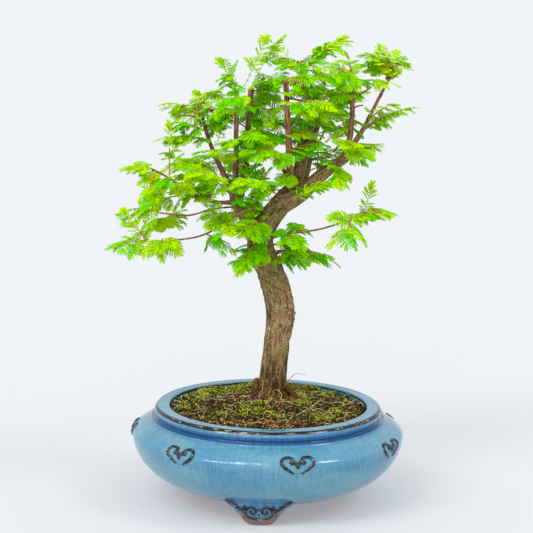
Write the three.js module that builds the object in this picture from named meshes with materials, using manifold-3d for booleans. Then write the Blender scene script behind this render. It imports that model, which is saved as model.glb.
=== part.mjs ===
// Dawn redwood bonsai in a round glazed pot on three cloud feet.
// Millimetres, +Z up. The feet stand on z = 0 and the front of the plant faces -Y.
// Everything is placed from the pot's axis, and the whole plant is then moved so that
// the origin lies on the ground under the middle of its width.

import * as THREE from 'three';
import * as BufferGeometryUtils from 'three/addons/utils/BufferGeometryUtils.js';
import Module from 'manifold-3d';

const wasm = await Module();
wasm.setup();

// Clearance kept between neighbouring solids.
const clearance = 0.3;

// The pot's axis lies this far to the right of the middle of the plant's width.
const potAxisX = 10;

// Pot: a bulging bowl with an upright rim band and a flat lip.
const bellyRadius = 130;
const bellyHeight = 66.7;
const baseRadius = 60;
const baseHeight = 13.5;
const neckRadius = 107;
const neckHeight = 80.6;
const rimRadius = 109.2;
const rimHeight = 91.6;
const lipRounding = 2.2;
const grooveDepth = 1;
const mouthRadius = 94.5;
const wallThickness = 8;
const shoulderPower = 1.43;
const potSides = 32;

// Feet: winged brackets, wider towards the top, whose face swells outwards from the sole until
// it meets the bowl.
const footAzimuths = [-4, 116, 236];
const footOutline = [[7.5, 0], [12.3, 4], [18.5, 10.8], [24.7, 16], [31.5, 20.8], [37, 25], [39, 29]];
const footSoleRadius = 94;
const footFaceRadius = 105;
const footFaceHeight = 26;
const footFaceSwell = 1.35;
const footBack = 58;
const footTop = 30;

// Soil: it fills the bowl and rises in a low mound to the trunk's foot.
const soilEdgeHeight = 87;
const soilCrownHeight = 94.7;
const moundFlatRadius = 16;
const hummock = 0.9;

// Trunk: places on its centre line and its radius there, from the flat cut to the sawn top.
const trunkFoot = [3.6, 22];
const trunkCutHeight = soilCrownHeight + clearance;
const trunkLine = [
  [trunkFoot[0], trunkFoot[1], trunkCutHeight, 17],
  [3.9, 20.5, 107, 13.9],
  [4.8, 19.4, 121, 12.9],
  [7.8, 17, 150.7, 12.7],
  [10.2, 14, 178, 14],
  [6.6, 11, 200, 13.8],
  [-0.6, 9.5, 220.7, 12.8],
  [-8.6, 8.6, 238, 12.9],
  [-9.6, 9, 253, 12.2],
  [-3.2, 10, 268, 11.2],
  [9, 12, 284, 10],
  [20.6, 15, 298, 9],
  [28, 18, 316, 8.2],
  [31.6, 20.5, 336, 8],
  [39, 24, 363, 7.3],
];
const trunkSides = 12;
const trunkSteps = 20;

// Surface roots at the trunk's foot: azimuth from the front towards +X, reach and radius.
const surfaceRoots = [[68, 33, 4.6], [-52, 23, 4.4], [12, 21, 3.6], [152, 27, 4.6], [-128, 26, 4.2]];

// Boughs: name, places on the centre line, radius at the start and at the end.
// Each starts inside the limb that carries it and is cut clear of every limb before it.
const boughs = [
  ['left_fork', [[-11, 9, 253], [-24, 6, 272], [-33, 3, 285], [-36, 0, 299]], 7.6, 4.6],
  ['left_stub_front', [[-35, 1, 293], [-34, -5, 322], [-34, -9, 363], [-34, -12, 391]], 3, 2.1],
  ['left_stub_back', [[-32, 3, 284], [-26, 8, 309], [-24, 12, 341], [-21, 16, 393]], 3.4, 2.7],
  ['left_slant', [[-36, 2, 295], [-48, 12, 316], [-60, 20, 342], [-71, 28, 377]], 3.3, 1.3],
  ['left_bough', [[-36, 3, 286], [-52, -6, 287], [-74, -14, 294], [-93, -22, 309], [-112, -28, 320]],
    2.3, 1.1],
  ['left_long_back', [[-34, 4, 282], [-57, 18, 277], [-80, 32, 269], [-108, 47, 269]], 1.9, 1.1],
  ['left_long_front', [[-2, 3, 276], [-17, -11, 282], [-35, -18, 275], [-62, -26, 259], [-91, -34, 254],
    [-119, -42, 253]], 1.9, 1.1],
  ['right_bough', [[11, 12, 287], [27, 10, 295], [47, 6, 313], [73, 2, 334]], 8.2, 4.4],
  ['right_stub', [[68, 3, 330], [73, 1, 352], [74, -3, 379], [74, -8, 405]], 3, 2.3],
  ['right_slant', [[68, 3, 331], [83, 9, 353], [95, 15, 376], [112, 24, 409]], 3, 1.2],
  ['front_stub', [[19, 12, 297], [17, -2, 312], [15, -10, 347], [11, -18, 403]], 4, 2.3],
  ['leader_shoot', [[38, 23, 358], [32, 27, 384], [28, 33, 416]], 3.1, 2.4],
  ['right_low', [[-8, 9, 249], [13, -6, 257], [48, -16, 265], [74, -24, 275]], 1.9, 1.1],
  ['back_low', [[-9, 9, 257], [-18, 40, 261], [-31, 72, 264]], 2.5, 1.2],
  ['back_mid', [[20, 15, 301], [10, 45, 315], [0, 75, 329]], 2.6, 1.2],
  ['back_top', [[32, 22, 339], [44, 48, 358], [52, 74, 375]], 2.5, 1.2],
];
const boughSides = 6;

// Foliage masses: name, limb that carries it, place along that limb (1 is its tip),
// far end of the mass's own stem, and length of its sprays.
const masses = [
  ['left_front_tip', 'left_long_front', 1, [-133, -48, 253], 19],
  ['left_front_fan', 'left_long_front', 0.85, [-97, -62, 254], 28],
  ['left_front_sprig', 'left_long_front', 0.96, [-133, -30, 272], 17],
  ['left_back_tip', 'left_long_back', 1, [-132, 62, 271], 24],
  ['left_back_fan', 'left_long_back', 0.8, [-111, 84, 263], 26],
  ['left_bough_tip', 'left_bough', 1, [-124, -34, 321], 20],
  ['left_bough_low', 'left_bough', 0.93, [-116, -50, 308], 24],
  ['left_bough_fan', 'left_bough', 0.7, [-97, -58, 307], 30],
  ['left_bough_sprig', 'left_bough', 0.78, [-97, 6, 338], 20],
  ['front_left_fan', 'left_fork', 0.75, [-60, -80, 327], 32],
  ['left_slant_side', 'left_slant', 0.85, [-93, 46, 367], 26],
  ['left_slant_tip', 'left_slant', 1, [-63, 56, 386], 24],
  ['left_slant_arch', 'left_slant', 0.4, [-62, -22, 340], 30],
  ['left_stub_front_tip', 'left_stub_front', 1, [-41, -22, 411], 24],
  ['left_stub_front_low', 'left_stub_front', 0.5, [-23, -44, 354], 30],
  ['left_stub_front_fan', 'left_stub_front', 0.9, [-36, -44, 387], 26],
  ['left_stub_back_tip', 'left_stub_back', 1, [-8, 38, 428], 26],
  ['left_stub_back_fan', 'left_stub_back', 0.8, [-5, 54, 382], 28],
  ['front_mid_fan', 'trunk', 0.7, [-16, -76, 320], 32],
  ['front_stub_low', 'front_stub', 0.35, [-10, -48, 341], 28],
  ['left_low_fan', 'left_long_front', 0.5, [-46, -58, 270], 30],
  ['trunk_front', 'trunk', 0.6, [-14, -38, 269], 28],
  ['right_low_near', 'right_low', 0.3, [19, -36, 258], 22],
  ['trunk_right', 'trunk', 0.53, [38, 36, 237], 26],
  ['trunk_left', 'trunk', 0.55, [-23, -26, 237], 26],
  ['right_bough_under', 'right_bough', 0.8, [65, -32, 316], 24],
  ['right_bough_fan', 'right_bough', 0.95, [76, -38, 343], 28],
  ['right_spur', 'right_slant', 0.25, [108, -18, 374], 24],
  ['right_slant_tip', 'right_slant', 1, [96, 52, 424], 26],
  ['leader_top', 'leader_shoot', 1, [56, 64, 433], 24],
  ['right_stub_tip', 'right_stub', 1, [55, -26, 415], 28],
  ['front_stub_tip', 'front_stub', 1, [24, -42, 413], 28],
  ['front_stub_fan', 'front_stub', 0.8, [35, -48, 389], 30],
  ['leader_side', 'trunk', 0.98, [65, 62, 373], 28],
  ['right_low_fan', 'right_low', 0.9, [70, -56, 273], 26],
  ['right_low_tip', 'right_low', 1, [103, 8, 283], 26],
  ['back_low_tip', 'back_low', 1, [-43, 98, 264], 32],
  ['back_mid_tip', 'back_mid', 1, [-10, 100, 345], 32],
  ['back_top_tip', 'back_top', 1, [76, 94, 386], 30],
  ['back_left_fan', 'left_fork', 0.85, [-79, 84, 325], 32],
  ['back_right_fan', 'right_bough', 0.6, [92, 84, 346], 30],
];

// How a mass grows. Its stem arches by a share of its length, and the last stretch of it
// bears pairs of sprays. Angles are in degrees: a spray's angle from the stem is given at the
// stem's foot, with what it loses by the tip and its whole random spread.
const stemRadius = 1;
const stemArch = 0.1;
const leafyLength = 42;
const pairSpacing = 16;
const uprightSlope = 0.75;
const pairTurn = 50;
const sprayAngle = 66;
const sprayAngleLoss = 24;
const sprayAngleSpread = 16;
const sprayRoll = 60;
const sprayFall = 0.14;

// Side twigs: how often one takes a spray's place, its length and the length of its sprays as
// shares of that spray, and for each of its sprays the place along it and the sideways spread.
const twigShare = 0.07;
const twigReach = 0.6;
const twigSprayLength = 0.72;
const twigSprays = [[0.5, 1], [0.6, -0.9], [1, 0]];
const twigRadius = 0.8;

// The faces of the sprays lean outwards from the middle of the crown, less so sideways.
const crownMiddleY = 10;
const sidewaysLean = 0.6;
const lean = 0.75;

// A spray's outline, as shares of its length: place along it and half width, tooth by tooth.
const sprayTeeth = [[0.4, 0.29], [0.47, 0.12], [0.74, 0.22]];
const sprayNeck = 0.08;
const sprayNeckWidth = 0.9;
const sprayFree = 0.3;
const sprayThickness = 0.5;
const sprayDroop = 0.16;

const radians = THREE.MathUtils.degToRad;
const up = new THREE.Vector3(0, 0, 1);

// Numbers from 0 to 1 that come out the same for the same seed.
function seededNumbers(seed) {
  let state = seed;
  return () => {
    state = (state * 16807) % 2147483647;
    return state / 2147483647;
  };
}

// The level direction from the middle of the crown to a place, stronger to the front and back.
function outwards(place) {
  return new THREE.Vector3(sidewaysLean * place.x, place.y - crownMiddleY, 0).normalize();
}

// The closed solid with these corners and triangles.
function solidOfTriangles(corners, triangles) {
  return new wasm.Manifold(new wasm.Mesh({
    numProp: 3,
    vertProperties: new Float32Array(corners.flat()),
    triVerts: new Uint32Array(triangles.flat()),
  }));
}

// The closed solid of a three.js geometry, with its shared corners merged.
function solidOfGeometry(geometry) {
  geometry.deleteAttribute('normal');
  geometry.deleteAttribute('uv');
  const merged = BufferGeometryUtils.mergeVertices(geometry, 1e-3);
  const corners = [];
  for (let i = 0; i < merged.attributes.position.count; i += 1) {
    corners.push(new THREE.Vector3().fromBufferAttribute(merged.attributes.position, i).toArray());
  }
  const triangles = [];
  for (let i = 0; i < merged.index.count; i += 3) {
    const [a, b, c] = merged.index.array.slice(i, i + 3);
    if (a !== b && b !== c && c !== a) triangles.push([a, b, c]);
  }
  return solidOfTriangles(corners, triangles);
}

// The largest piece of a solid, without loose scraps.
function largestPiece(solid) {
  return solid.decompose().reduce((best, piece) => (piece.volume() > best.volume() ? piece : best));
}

// A named mesh of a solid, in its own colour.
function meshOf(name, solid, colour, roughness) {
  const { vertProperties, triVerts } = solid.getMesh();
  const geometry = new THREE.BufferGeometry();
  geometry.setAttribute('position', new THREE.BufferAttribute(vertProperties, 3));
  geometry.setIndex(new THREE.BufferAttribute(triVerts, 1));
  geometry.computeVertexNormals();
  const material = new THREE.MeshStandardMaterial({ color: colour, roughness, metalness: 0 });
  const mesh = new THREE.Mesh(geometry, material);
  mesh.name = name;
  return mesh;
}

// A solid turned round the Z axis from its profile of [radius, height] points.
function turned(profile, sides) {
  const geometry = new THREE.LatheGeometry(profile.map(([r, z]) => new THREE.Vector2(r, z)), sides);
  geometry.rotateX(Math.PI / 2);
  return solidOfGeometry(geometry);
}

// The bowl's outer curve from its underside to its neck.
function bowlCurve() {
  const points = [];
  for (let i = 0; i <= 6; i += 1) {
    const angle = radians(90 * i / 6);
    points.push([
      baseRadius + (bellyRadius - baseRadius) * Math.sin(angle),
      bellyHeight - (bellyHeight - baseHeight) * Math.cos(angle),
    ]);
  }
  for (let i = 1; i <= 4; i += 1) {
    const angle = radians(90 * i / 4);
    points.push([
      neckRadius + (bellyRadius - neckRadius) * Math.cos(angle) ** shoulderPower,
      bellyHeight + (neckHeight - bellyHeight) * Math.sin(angle) ** shoulderPower,
    ]);
  }
  return points;
}

// The curve of the bowl's inside from the middle of its floor to the mouth, drawn in by inset.
function cavityCurve(inset) {
  const floorHeight = baseHeight + wallThickness + inset;
  const innerRadius = bellyRadius - wallThickness - inset;
  const points = [[0, floorHeight]];
  for (let i = 0; i <= 3; i += 1) {
    const angle = radians(90 * i / 3);
    points.push([
      baseRadius + (innerRadius - baseRadius) * Math.sin(angle),
      bellyHeight - (bellyHeight - floorHeight) * Math.cos(angle),
    ]);
  }
  points.push([mouthRadius - inset, neckHeight - inset]);
  return points;
}

// Pot: the bowl with its rim, and the three feet joined to it.
function makePot() {
  const rim = [
    [neckRadius - grooveDepth, neckHeight + 0.7],
    [neckRadius + 0.6, neckHeight + 1.4],
    [rimRadius, rimHeight - lipRounding - 1],
    [rimRadius - 0.5, rimHeight - 0.9],
    [rimRadius - lipRounding, rimHeight],
    [mouthRadius + 1.2, rimHeight],
    [mouthRadius, rimHeight - 1.2],
  ];
  const profile = [[0, baseHeight], ...bowlCurve(), ...rim, ...cavityCurve(0).reverse()];
  let pot = turned(profile, potSides);
  const cavity = turned([...cavityCurve(0), [0, neckHeight]], potSides);
  const face = [0, 0.2, 0.45, 0.7, 1].map((share) => {
    const swell = 1 - (1 - share) ** footFaceSwell;
    return [footSoleRadius + (footFaceRadius - footSoleRadius) * swell, share * footFaceHeight];
  });
  const skirt = turned([[0, 0], ...face, [footFaceRadius, footTop], [0, footTop]], potSides);
  const left = footOutline.map(([w, z]) => [-w, z]).reverse();
  const shape = new THREE.Shape([...footOutline, ...left].map(([w, z]) => new THREE.Vector2(w, z)));
  for (const azimuth of footAzimuths) {
    const slab = new THREE.ExtrudeGeometry(shape, { depth: bellyRadius - footBack, bevelEnabled: false });
    slab.rotateX(Math.PI / 2);
    slab.translate(0, -footBack, 0);
    slab.rotateZ(radians(azimuth));
    pot = pot.add(solidOfGeometry(slab).intersect(skirt).subtract(cavity));
  }
  return pot;
}

// Soil: turned like the bowl's inside, with rings on top that close in on the trunk's foot.
function makeSoil() {
  const top = [mouthRadius - clearance, 76, 56, 36, moundFlatRadius, 0].map((r) => {
    const rise = 1 - THREE.MathUtils.smoothstep(r, moundFlatRadius, mouthRadius);
    return [r, soilEdgeHeight + (soilCrownHeight - soilEdgeHeight) * rise];
  });
  const profile = [...cavityCurve(clearance), ...top].map(([r, z]) => new THREE.Vector2(r, z));
  const geometry = new THREE.LatheGeometry(profile, potSides);
  geometry.rotateX(Math.PI / 2);
  const places = geometry.attributes.position;
  for (let i = 0; i < places.count; i += 1) {
    const x = places.getX(i);
    const y = places.getY(i);
    const z = places.getZ(i);
    const r = Math.hypot(x, y);
    if (z >= soilEdgeHeight) {
      const inwards = 1 - r / (mouthRadius - clearance);
      const bump = r > moundFlatRadius + 1 && inwards > 0.01 ? Math.sin(x / 7) * Math.cos(y / 9) - 1 : 0;
      places.setXYZ(i, x + trunkFoot[0] * inwards, y + trunkFoot[1] * inwards, z + hummock * bump);
    }
  }
  return solidOfGeometry(geometry);
}

// The solid through rings of corners, closed by a flat face at each end.
function sweptSolid(rings) {
  const sides = rings[0].length;
  const last = rings.length - 1;
  const corners = rings.flat();
  const triangles = [];
  for (let k = 0; k < last; k += 1) {
    for (let i = 0; i < sides; i += 1) {
      const a = k * sides + i;
      const b = k * sides + (i + 1) % sides;
      triangles.push([a, b, a + sides], [b, b + sides, a + sides]);
    }
  }
  for (let i = 1; i < sides - 1; i += 1) {
    triangles.push([0, i + 1, i], [last * sides, last * sides + i, last * sides + i + 1]);
  }
  return solidOfTriangles(corners, triangles);
}

// A limb along a smooth curve: radiusAt gives its radius from 0 at the start to 1 at the end,
// and grow makes it thicker and longer all round.
function limbSolid(curve, radiusAt, sides, steps, grow) {
  const frames = curve.computeFrenetFrames(steps, false);
  const rings = [];
  for (let k = 0; k <= steps; k += 1) {
    const share = k / steps;
    const place = curve.getPointAt(share);
    if (k === 0) place.addScaledVector(frames.tangents[k], -grow);
    if (k === steps) place.addScaledVector(frames.tangents[k], grow);
    const ring = [];
    for (let i = 0; i < sides; i += 1) {
      const angle = 2 * Math.PI * i / sides;
      ring.push(place.clone()
        .addScaledVector(frames.normals[k], (radiusAt(share) + grow) * Math.cos(angle))
        .addScaledVector(frames.binormals[k], (radiusAt(share) + grow) * Math.sin(angle))
        .toArray());
    }
    rings.push(ring);
  }
  return sweptSolid(rings);
}

// The smooth curve through a limb's places.
function limbCurve(places) {
  const points = places.map(([x, y, z]) => new THREE.Vector3(x, y, z));
  return new THREE.CatmullRomCurve3(points, false, 'centripetal');
}

// The trunk's radius at a share of its length, read from the places on its centre line.
function trunkRadius(curve) {
  const shares = trunkLine.map((place, i) => {
    const piece = limbCurve(trunkLine.slice(0, i + 1));
    return i === 0 ? 0 : piece.getLength() / curve.getLength();
  });
  return (share) => {
    const i = Math.min(shares.filter((s) => s <= share).length, shares.length - 1);
    const along = (share - shares[i - 1]) / (shares[i] - shares[i - 1]);
    return THREE.MathUtils.lerp(trunkLine[i - 1][3], trunkLine[i][3], Math.min(along, 1));
  };
}

// Trunk: one tapering limb with its surface roots, cut flat at the soil.
function makeTrunk(curve, grow) {
  let trunk = limbSolid(curve, trunkRadius(curve), trunkSides, trunkSteps, grow);
  for (const [azimuth, reach, radius] of surfaceRoots) {
    const direction = new THREE.Vector3(Math.sin(radians(azimuth)), -Math.cos(radians(azimuth)), 0);
    const places = [[0.3, 11], [0.64, 4], [1, 0.3]].map(([share, rise]) => {
      const place = new THREE.Vector3(...trunkFoot, trunkCutHeight + rise);
      return place.addScaledVector(direction, share * reach).toArray();
    });
    const taper = (share) => THREE.MathUtils.lerp(radius * 1.5, radius * 0.4, share);
    trunk = trunk.add(limbSolid(limbCurve(places), taper, 5, 3, grow));
  }
  const below = new THREE.BoxGeometry(200, 200, 100);
  below.translate(...trunkFoot, trunkCutHeight - 50);
  return trunk.subtract(solidOfGeometry(below));
}

// One spray of needles: a toothed blade that droops towards its tip. It is thickest along its
// middle, and narrows at the share neck of its length to a point at the share start.
function sprayBlade({ root, direction, lift, length }, start, neck) {
  const side = new THREE.Vector3().crossVectors(direction, lift).normalize();
  const normal = new THREE.Vector3().crossVectors(side, direction).normalize();
  const at = (share, across, rise) => root.clone()
    .addScaledVector(direction, share * length)
    .addScaledVector(up, -sprayDroop * share * share * length)
    .addScaledVector(side, across)
    .addScaledVector(normal, rise)
    .toArray();
  const corners = [at(start, 0, 0), at(1, 0, 0)];
  for (const share of [neck, sprayTeeth[1][0]]) {
    corners.push(at(share, 0, sprayThickness), at(share, 0, -sprayThickness));
  }
  const triangles = [];
  for (const hand of [1, -1]) {
    const edge = corners.length;
    corners.push(at(neck, hand * sprayNeckWidth, 0));
    for (const [share, half] of sprayTeeth) corners.push(at(share, hand * half * length, 0));
    for (const face of [0, 1]) {
      const [neckRidge, notchRidge] = [2 + face, 4 + face];
      const fan = [
        [0, edge, neckRidge],
        [neckRidge, edge, edge + 1],
        [neckRidge, edge + 1, edge + 2],
        [neckRidge, edge + 2, notchRidge],
        [notchRidge, edge + 2, edge + 3],
        [notchRidge, edge + 3, 1],
      ];
      const keep = (hand === 1) === (face === 0);
      triangles.push(...(keep ? fan : fan.map(([i, j, k]) => [i, k, j])));
    }
  }
  return solidOfTriangles(corners, triangles);
}

// Where a mass's twigs and sprays go. Sprays leave the outer part of the stem in pairs, and
// some of them give way to a side twig with three sprays of its own. On an upright stem each
// pair stands across the one before it. The fan that they form leans outwards, away from the
// trunk, and its sprays fall towards their tips.
function growMass(foot, end, sprayLength, seed) {
  const next = seededNumbers(seed);
  const stemLength = foot.distanceTo(end);
  const middle = foot.clone().lerp(end, 0.5).addScaledVector(up, stemArch * stemLength);
  const stem = new THREE.QuadraticBezierCurve3(foot, middle, end);
  const twigs = [];
  const sprays = [];
  const bare = Math.max(0, 1 - leafyLength / stemLength);
  const pairs = Math.max(2, Math.round((1 - bare) * stemLength / pairSpacing));
  for (let k = 0; k < pairs; k += 1) {
    const share = bare + (1 - bare) * (k + 0.7) / (pairs + 0.2);
    const root = stem.getPointAt(share);
    const tangent = stem.getTangentAt(share);
    const upright = Math.abs(tangent.z) > uprightSlope;
    const out = outwards(root);
    const lift = up.clone().addScaledVector(out, lean).normalize();
    const across = new THREE.Vector3().crossVectors(tangent, upright ? out : lift).normalize();
    const turn = (upright ? 90 * k : 0) + pairTurn * (next() - 0.5);
    across.applyAxisAngle(tangent, radians(turn));
    for (const hand of [1, -1]) {
      const angle = radians(sprayAngle - sprayAngleLoss * share + sprayAngleSpread * (next() - 0.5));
      const length = sprayLength * (0.8 + 0.4 * next()) * (1 - 0.15 * share);
      const fall = sprayFall * (0.4 + 1.2 * next());
      const roll = radians(sprayRoll * (next() - 0.5));
      const bears = next();
      const direction = tangent.clone().multiplyScalar(Math.cos(angle))
        .addScaledVector(across, hand * Math.sin(angle)).addScaledVector(up, -fall).normalize();
      const face = lift.clone().applyAxisAngle(direction, roll);
      if (bears < twigShare) {
        const tip = root.clone().addScaledVector(direction, twigReach * length);
        twigs.push([root, tip]);
        const sideways = new THREE.Vector3().crossVectors(direction, face).normalize();
        for (const [start, spread] of twigSprays) {
          sprays.push({
            root: root.clone().lerp(tip, start),
            direction: direction.clone().addScaledVector(sideways, spread).normalize(),
            lift: face,
            length: twigSprayLength * length,
          });
        }
      } else {
        sprays.push({ root, direction, lift: face, length });
      }
    }
  }
  const lift = up.clone().addScaledVector(outwards(end), lean).normalize();
  sprays.push({ root: end.clone(), direction: stem.getTangentAt(1), lift, length: 0.9 * sprayLength });
  return { stem, twigs, sprays };
}

// True where two solids come nearer to each other than the clearance.
function tooNear(a, b) {
  const [boxA, boxB] = [a.boundingBox(), b.boundingBox()];
  for (let i = 0; i < 3; i += 1) {
    if (boxA.min[i] > boxB.max[i] + clearance || boxB.min[i] > boxA.max[i] + clearance) return false;
  }
  return a.minGap(b, 2 * clearance) < clearance * 0.98;
}

const plant = new THREE.Group();
plant.position.x = potAxisX;
plant.add(meshOf('pot', makePot(), 0x5791b1, 0.25));
plant.add(meshOf('soil', makeSoil(), 0x6a5a35, 0.95));

const trunkCurve = limbCurve(trunkLine);
const limbs = new Map();
limbs.set('trunk', {
  curve: trunkCurve,
  solid: makeTrunk(trunkCurve, 0),
  grown: makeTrunk(trunkCurve, clearance),
});
plant.add(meshOf('trunk', limbs.get('trunk').solid, 0x8d6d57, 0.85));

for (const [name, places, startRadius, endRadius] of boughs) {
  const curve = limbCurve(places);
  const taper = (share) => THREE.MathUtils.lerp(startRadius, endRadius, share ** 0.8);
  const steps = places.length + 1;
  let solid = limbSolid(curve, taper, boughSides, steps, 0);
  for (const other of limbs.values()) solid = solid.subtract(other.grown);
  const grown = limbSolid(curve, taper, boughSides, steps, clearance);
  limbs.set(name, { curve, solid: largestPiece(solid), grown });
  plant.add(meshOf(name, limbs.get(name).solid, 0x8a6248, 0.8));
}

// The stems of all masses come first, so that every spray can keep clear of them.
const growths = masses.map(([name, limb, share, far, sprayLength], i) => {
  const foot = limbs.get(limb).curve.getPointAt(share);
  const growth = growMass(foot, new THREE.Vector3(...far), sprayLength, 101 + 37 * i);
  const taper = (along) => THREE.MathUtils.lerp(stemRadius, 0.8 * stemRadius, along);
  let solid = limbSolid(growth.stem, taper, 4, 3, 0);
  for (const other of limbs.values()) solid = solid.subtract(other.grown);
  return { name, ...growth, solids: [largestPiece(solid)] };
});

// A spray is skipped where it would touch a limb or another mass, or would cross a spray of
// its own mass beyond its root.
for (const growth of growths) {
  const others = growths.filter((other) => other !== growth);
  const clear = (solid) => [...limbs.values()].every((limb) => !tooNear(solid, limb.solid))
    && others.every((other) => other.solids.every((piece) => !tooNear(solid, piece)));
  const outerParts = [growth.solids[0]];
  for (const [root, tip] of growth.twigs) {
    const twig = limbSolid(new THREE.LineCurve3(root, tip), () => twigRadius, 3, 1, 0);
    if (clear(twig)) growth.solids.push(twig);
  }
  for (const spray of growth.sprays) {
    const blade = sprayBlade(spray, -0.7 * stemRadius / spray.length, sprayNeck);
    const outerPart = sprayBlade(spray, sprayFree, sprayFree + sprayNeck);
    if (clear(blade) && outerParts.every((part) => !tooNear(outerPart, part))) {
      growth.solids.push(blade);
      outerParts.push(outerPart);
    }
  }
  const joined = growth.solids.reduce((sum, piece) => sum.add(piece));
  plant.add(meshOf(`foliage_${growth.name}`, largestPiece(joined), 0x9ccf2a, 0.6));
}

export default plant;
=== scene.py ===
# Dawn redwood bonsai in a round glazed pot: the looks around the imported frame.
# Metres, +Z up, the front of the plant faces -Y. Sizes are written in millimetres times mm.

import math

import bpy
import numpy as np
from mathutils import Matrix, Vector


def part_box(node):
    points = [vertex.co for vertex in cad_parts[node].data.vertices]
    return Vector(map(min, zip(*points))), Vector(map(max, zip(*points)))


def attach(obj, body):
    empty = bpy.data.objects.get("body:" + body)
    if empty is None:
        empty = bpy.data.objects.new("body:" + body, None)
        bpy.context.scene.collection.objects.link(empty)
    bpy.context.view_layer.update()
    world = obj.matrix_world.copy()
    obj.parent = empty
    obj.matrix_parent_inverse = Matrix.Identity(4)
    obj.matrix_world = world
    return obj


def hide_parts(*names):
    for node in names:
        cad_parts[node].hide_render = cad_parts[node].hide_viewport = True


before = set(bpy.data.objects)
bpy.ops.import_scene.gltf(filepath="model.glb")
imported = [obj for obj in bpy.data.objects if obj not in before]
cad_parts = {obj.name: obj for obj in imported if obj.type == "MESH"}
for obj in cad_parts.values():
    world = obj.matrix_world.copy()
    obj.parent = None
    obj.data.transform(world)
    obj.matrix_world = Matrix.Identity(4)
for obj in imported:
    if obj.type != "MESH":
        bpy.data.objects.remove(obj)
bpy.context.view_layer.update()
mm = 0.001
pot_low, pot_high = np.array(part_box("pot"))
pot_axis = np.array([(pot_low[0] + pot_high[0]) / 2, 0.0, 0.0])

# Camera: a long lens a little above the crown's middle, which looks down on the soil and is
# held very slightly turned. It stands in front of the pot's axis.
camera_place = pot_axis + np.array([-3.77, -1600.0, 485.5]) * mm
camera_pitch = math.radians(9.23)
camera_turn = math.radians(0.93)

lens = bpy.data.cameras.new("camera")
lens.lens = 115.3
lens.clip_end = 200.0
camera = bpy.data.objects.new("camera", lens)
bpy.context.collection.objects.link(camera)
camera.matrix_world = (
    Matrix.Translation(camera_place)
    @ Matrix.Rotation(math.pi / 2 - camera_pitch, 4, "X")
    @ Matrix.Rotation(camera_turn, 4, "Z")
)
bpy.context.scene.camera = camera


# Studio: a wide pale floor, lit a little from below like a light table, under a pale sky of the
# same brightness. Four soft lamps stand in front, two of them to the left, and three small ones
# hang high up. The lamps are what the glaze mirrors.
def add_node(tree, kind, inputs=None, **settings):
    """A node of a tree, with its settings, and its inputs linked or set."""
    node = tree.nodes.new(kind)
    for setting, value in settings.items():
        setattr(node, setting, value)
    for socket, value in (inputs or {}).items():
        if isinstance(value, bpy.types.NodeSocket):
            tree.links.new(value, node.inputs[socket])
        else:
            node.inputs[socket].default_value = value
    return node


def stretched(tree, value, low, high, start=0.0, end=1.0):
    """A value that runs from start to end while a socket's value runs from low to high."""
    ends = {"Value": value, "From Min": low, "From Max": high, "To Min": start, "To Max": end}
    return add_node(tree, "ShaderNodeMapRange", ends).outputs["Result"]


def new_material(name, **sockets):
    """A material with its node tree and its Principled shader, whose own sockets are set."""
    material = bpy.data.materials.new(name)
    material.use_nodes = True
    shader = material.node_tree.nodes["Principled BSDF"]
    for socket, value in sockets.items():
        shader.inputs[socket.replace("_", " ")].default_value = value
    return material, material.node_tree, shader


def srgb(red, green, blue):
    """The linear colour of a display colour from 0 to 255: each part follows the sRGB curve."""
    parts = np.array([red, green, blue]) / 255
    linear = np.where(parts <= 0.04045, parts / 12.92, ((parts + 0.055) / 1.055) ** 2.4)
    return (*linear.tolist(), 1.0)


backdrop_colour = srgb(238, 242, 245)
sky_light = 0.9
floor_reach = 90.0
bpy.context.scene.view_settings.view_transform = "Standard"

world = bpy.data.worlds.new("pale sky")
world.use_nodes = True
bpy.context.scene.world = world
seen_directly = add_node(world.node_tree, "ShaderNodeLightPath").outputs["Is Camera Ray"]
brightness = stretched(world.node_tree, seen_directly, 0.0, 1.0, sky_light)
sky = world.node_tree.nodes["Background"]
sky.inputs["Color"].default_value = backdrop_colour
world.node_tree.links.new(brightness, sky.inputs["Strength"])

lamps = [
    ("left", -50, 36, 0.78, 18), ("left_inner", -30, 43, 0.5, 12), ("right", 64, 44, 0.6, 16),
    ("front", -6, 14, 0.62, 44), ("strip_left", -32, 56, 0.17, 7), ("strip_middle", -12, 55, 0.17, 7),
    ("strip_right", 30, 53, 0.12, 6),
]
for side, azimuth, elevation, strength, width in lamps:
    lamp = bpy.data.lights.new(f"lamp_{side}", "SUN")
    lamp.energy = strength
    lamp.angle = math.radians(width)
    lamp.color = (1.0, 0.985, 0.96)
    stand = bpy.data.objects.new(f"lamp_{side}", lamp)
    stand.rotation_euler = (math.radians(90 - elevation), 0, math.radians(azimuth))
    bpy.context.collection.objects.link(stand)

bpy.ops.mesh.primitive_circle_add(vertices=64, radius=floor_reach, fill_type="NGON")
floor = bpy.context.object
floor.name = "floor"
floor_material, _, _ = new_material(
    "pale floor", Base_Color=srgb(181, 181, 180), Roughness=0.75, Specular_IOR_Level=0.15,
    Emission_Color=srgb(137, 141, 149), Emission_Strength=1.0,
)
floor.data.materials.append(floor_material)


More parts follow.
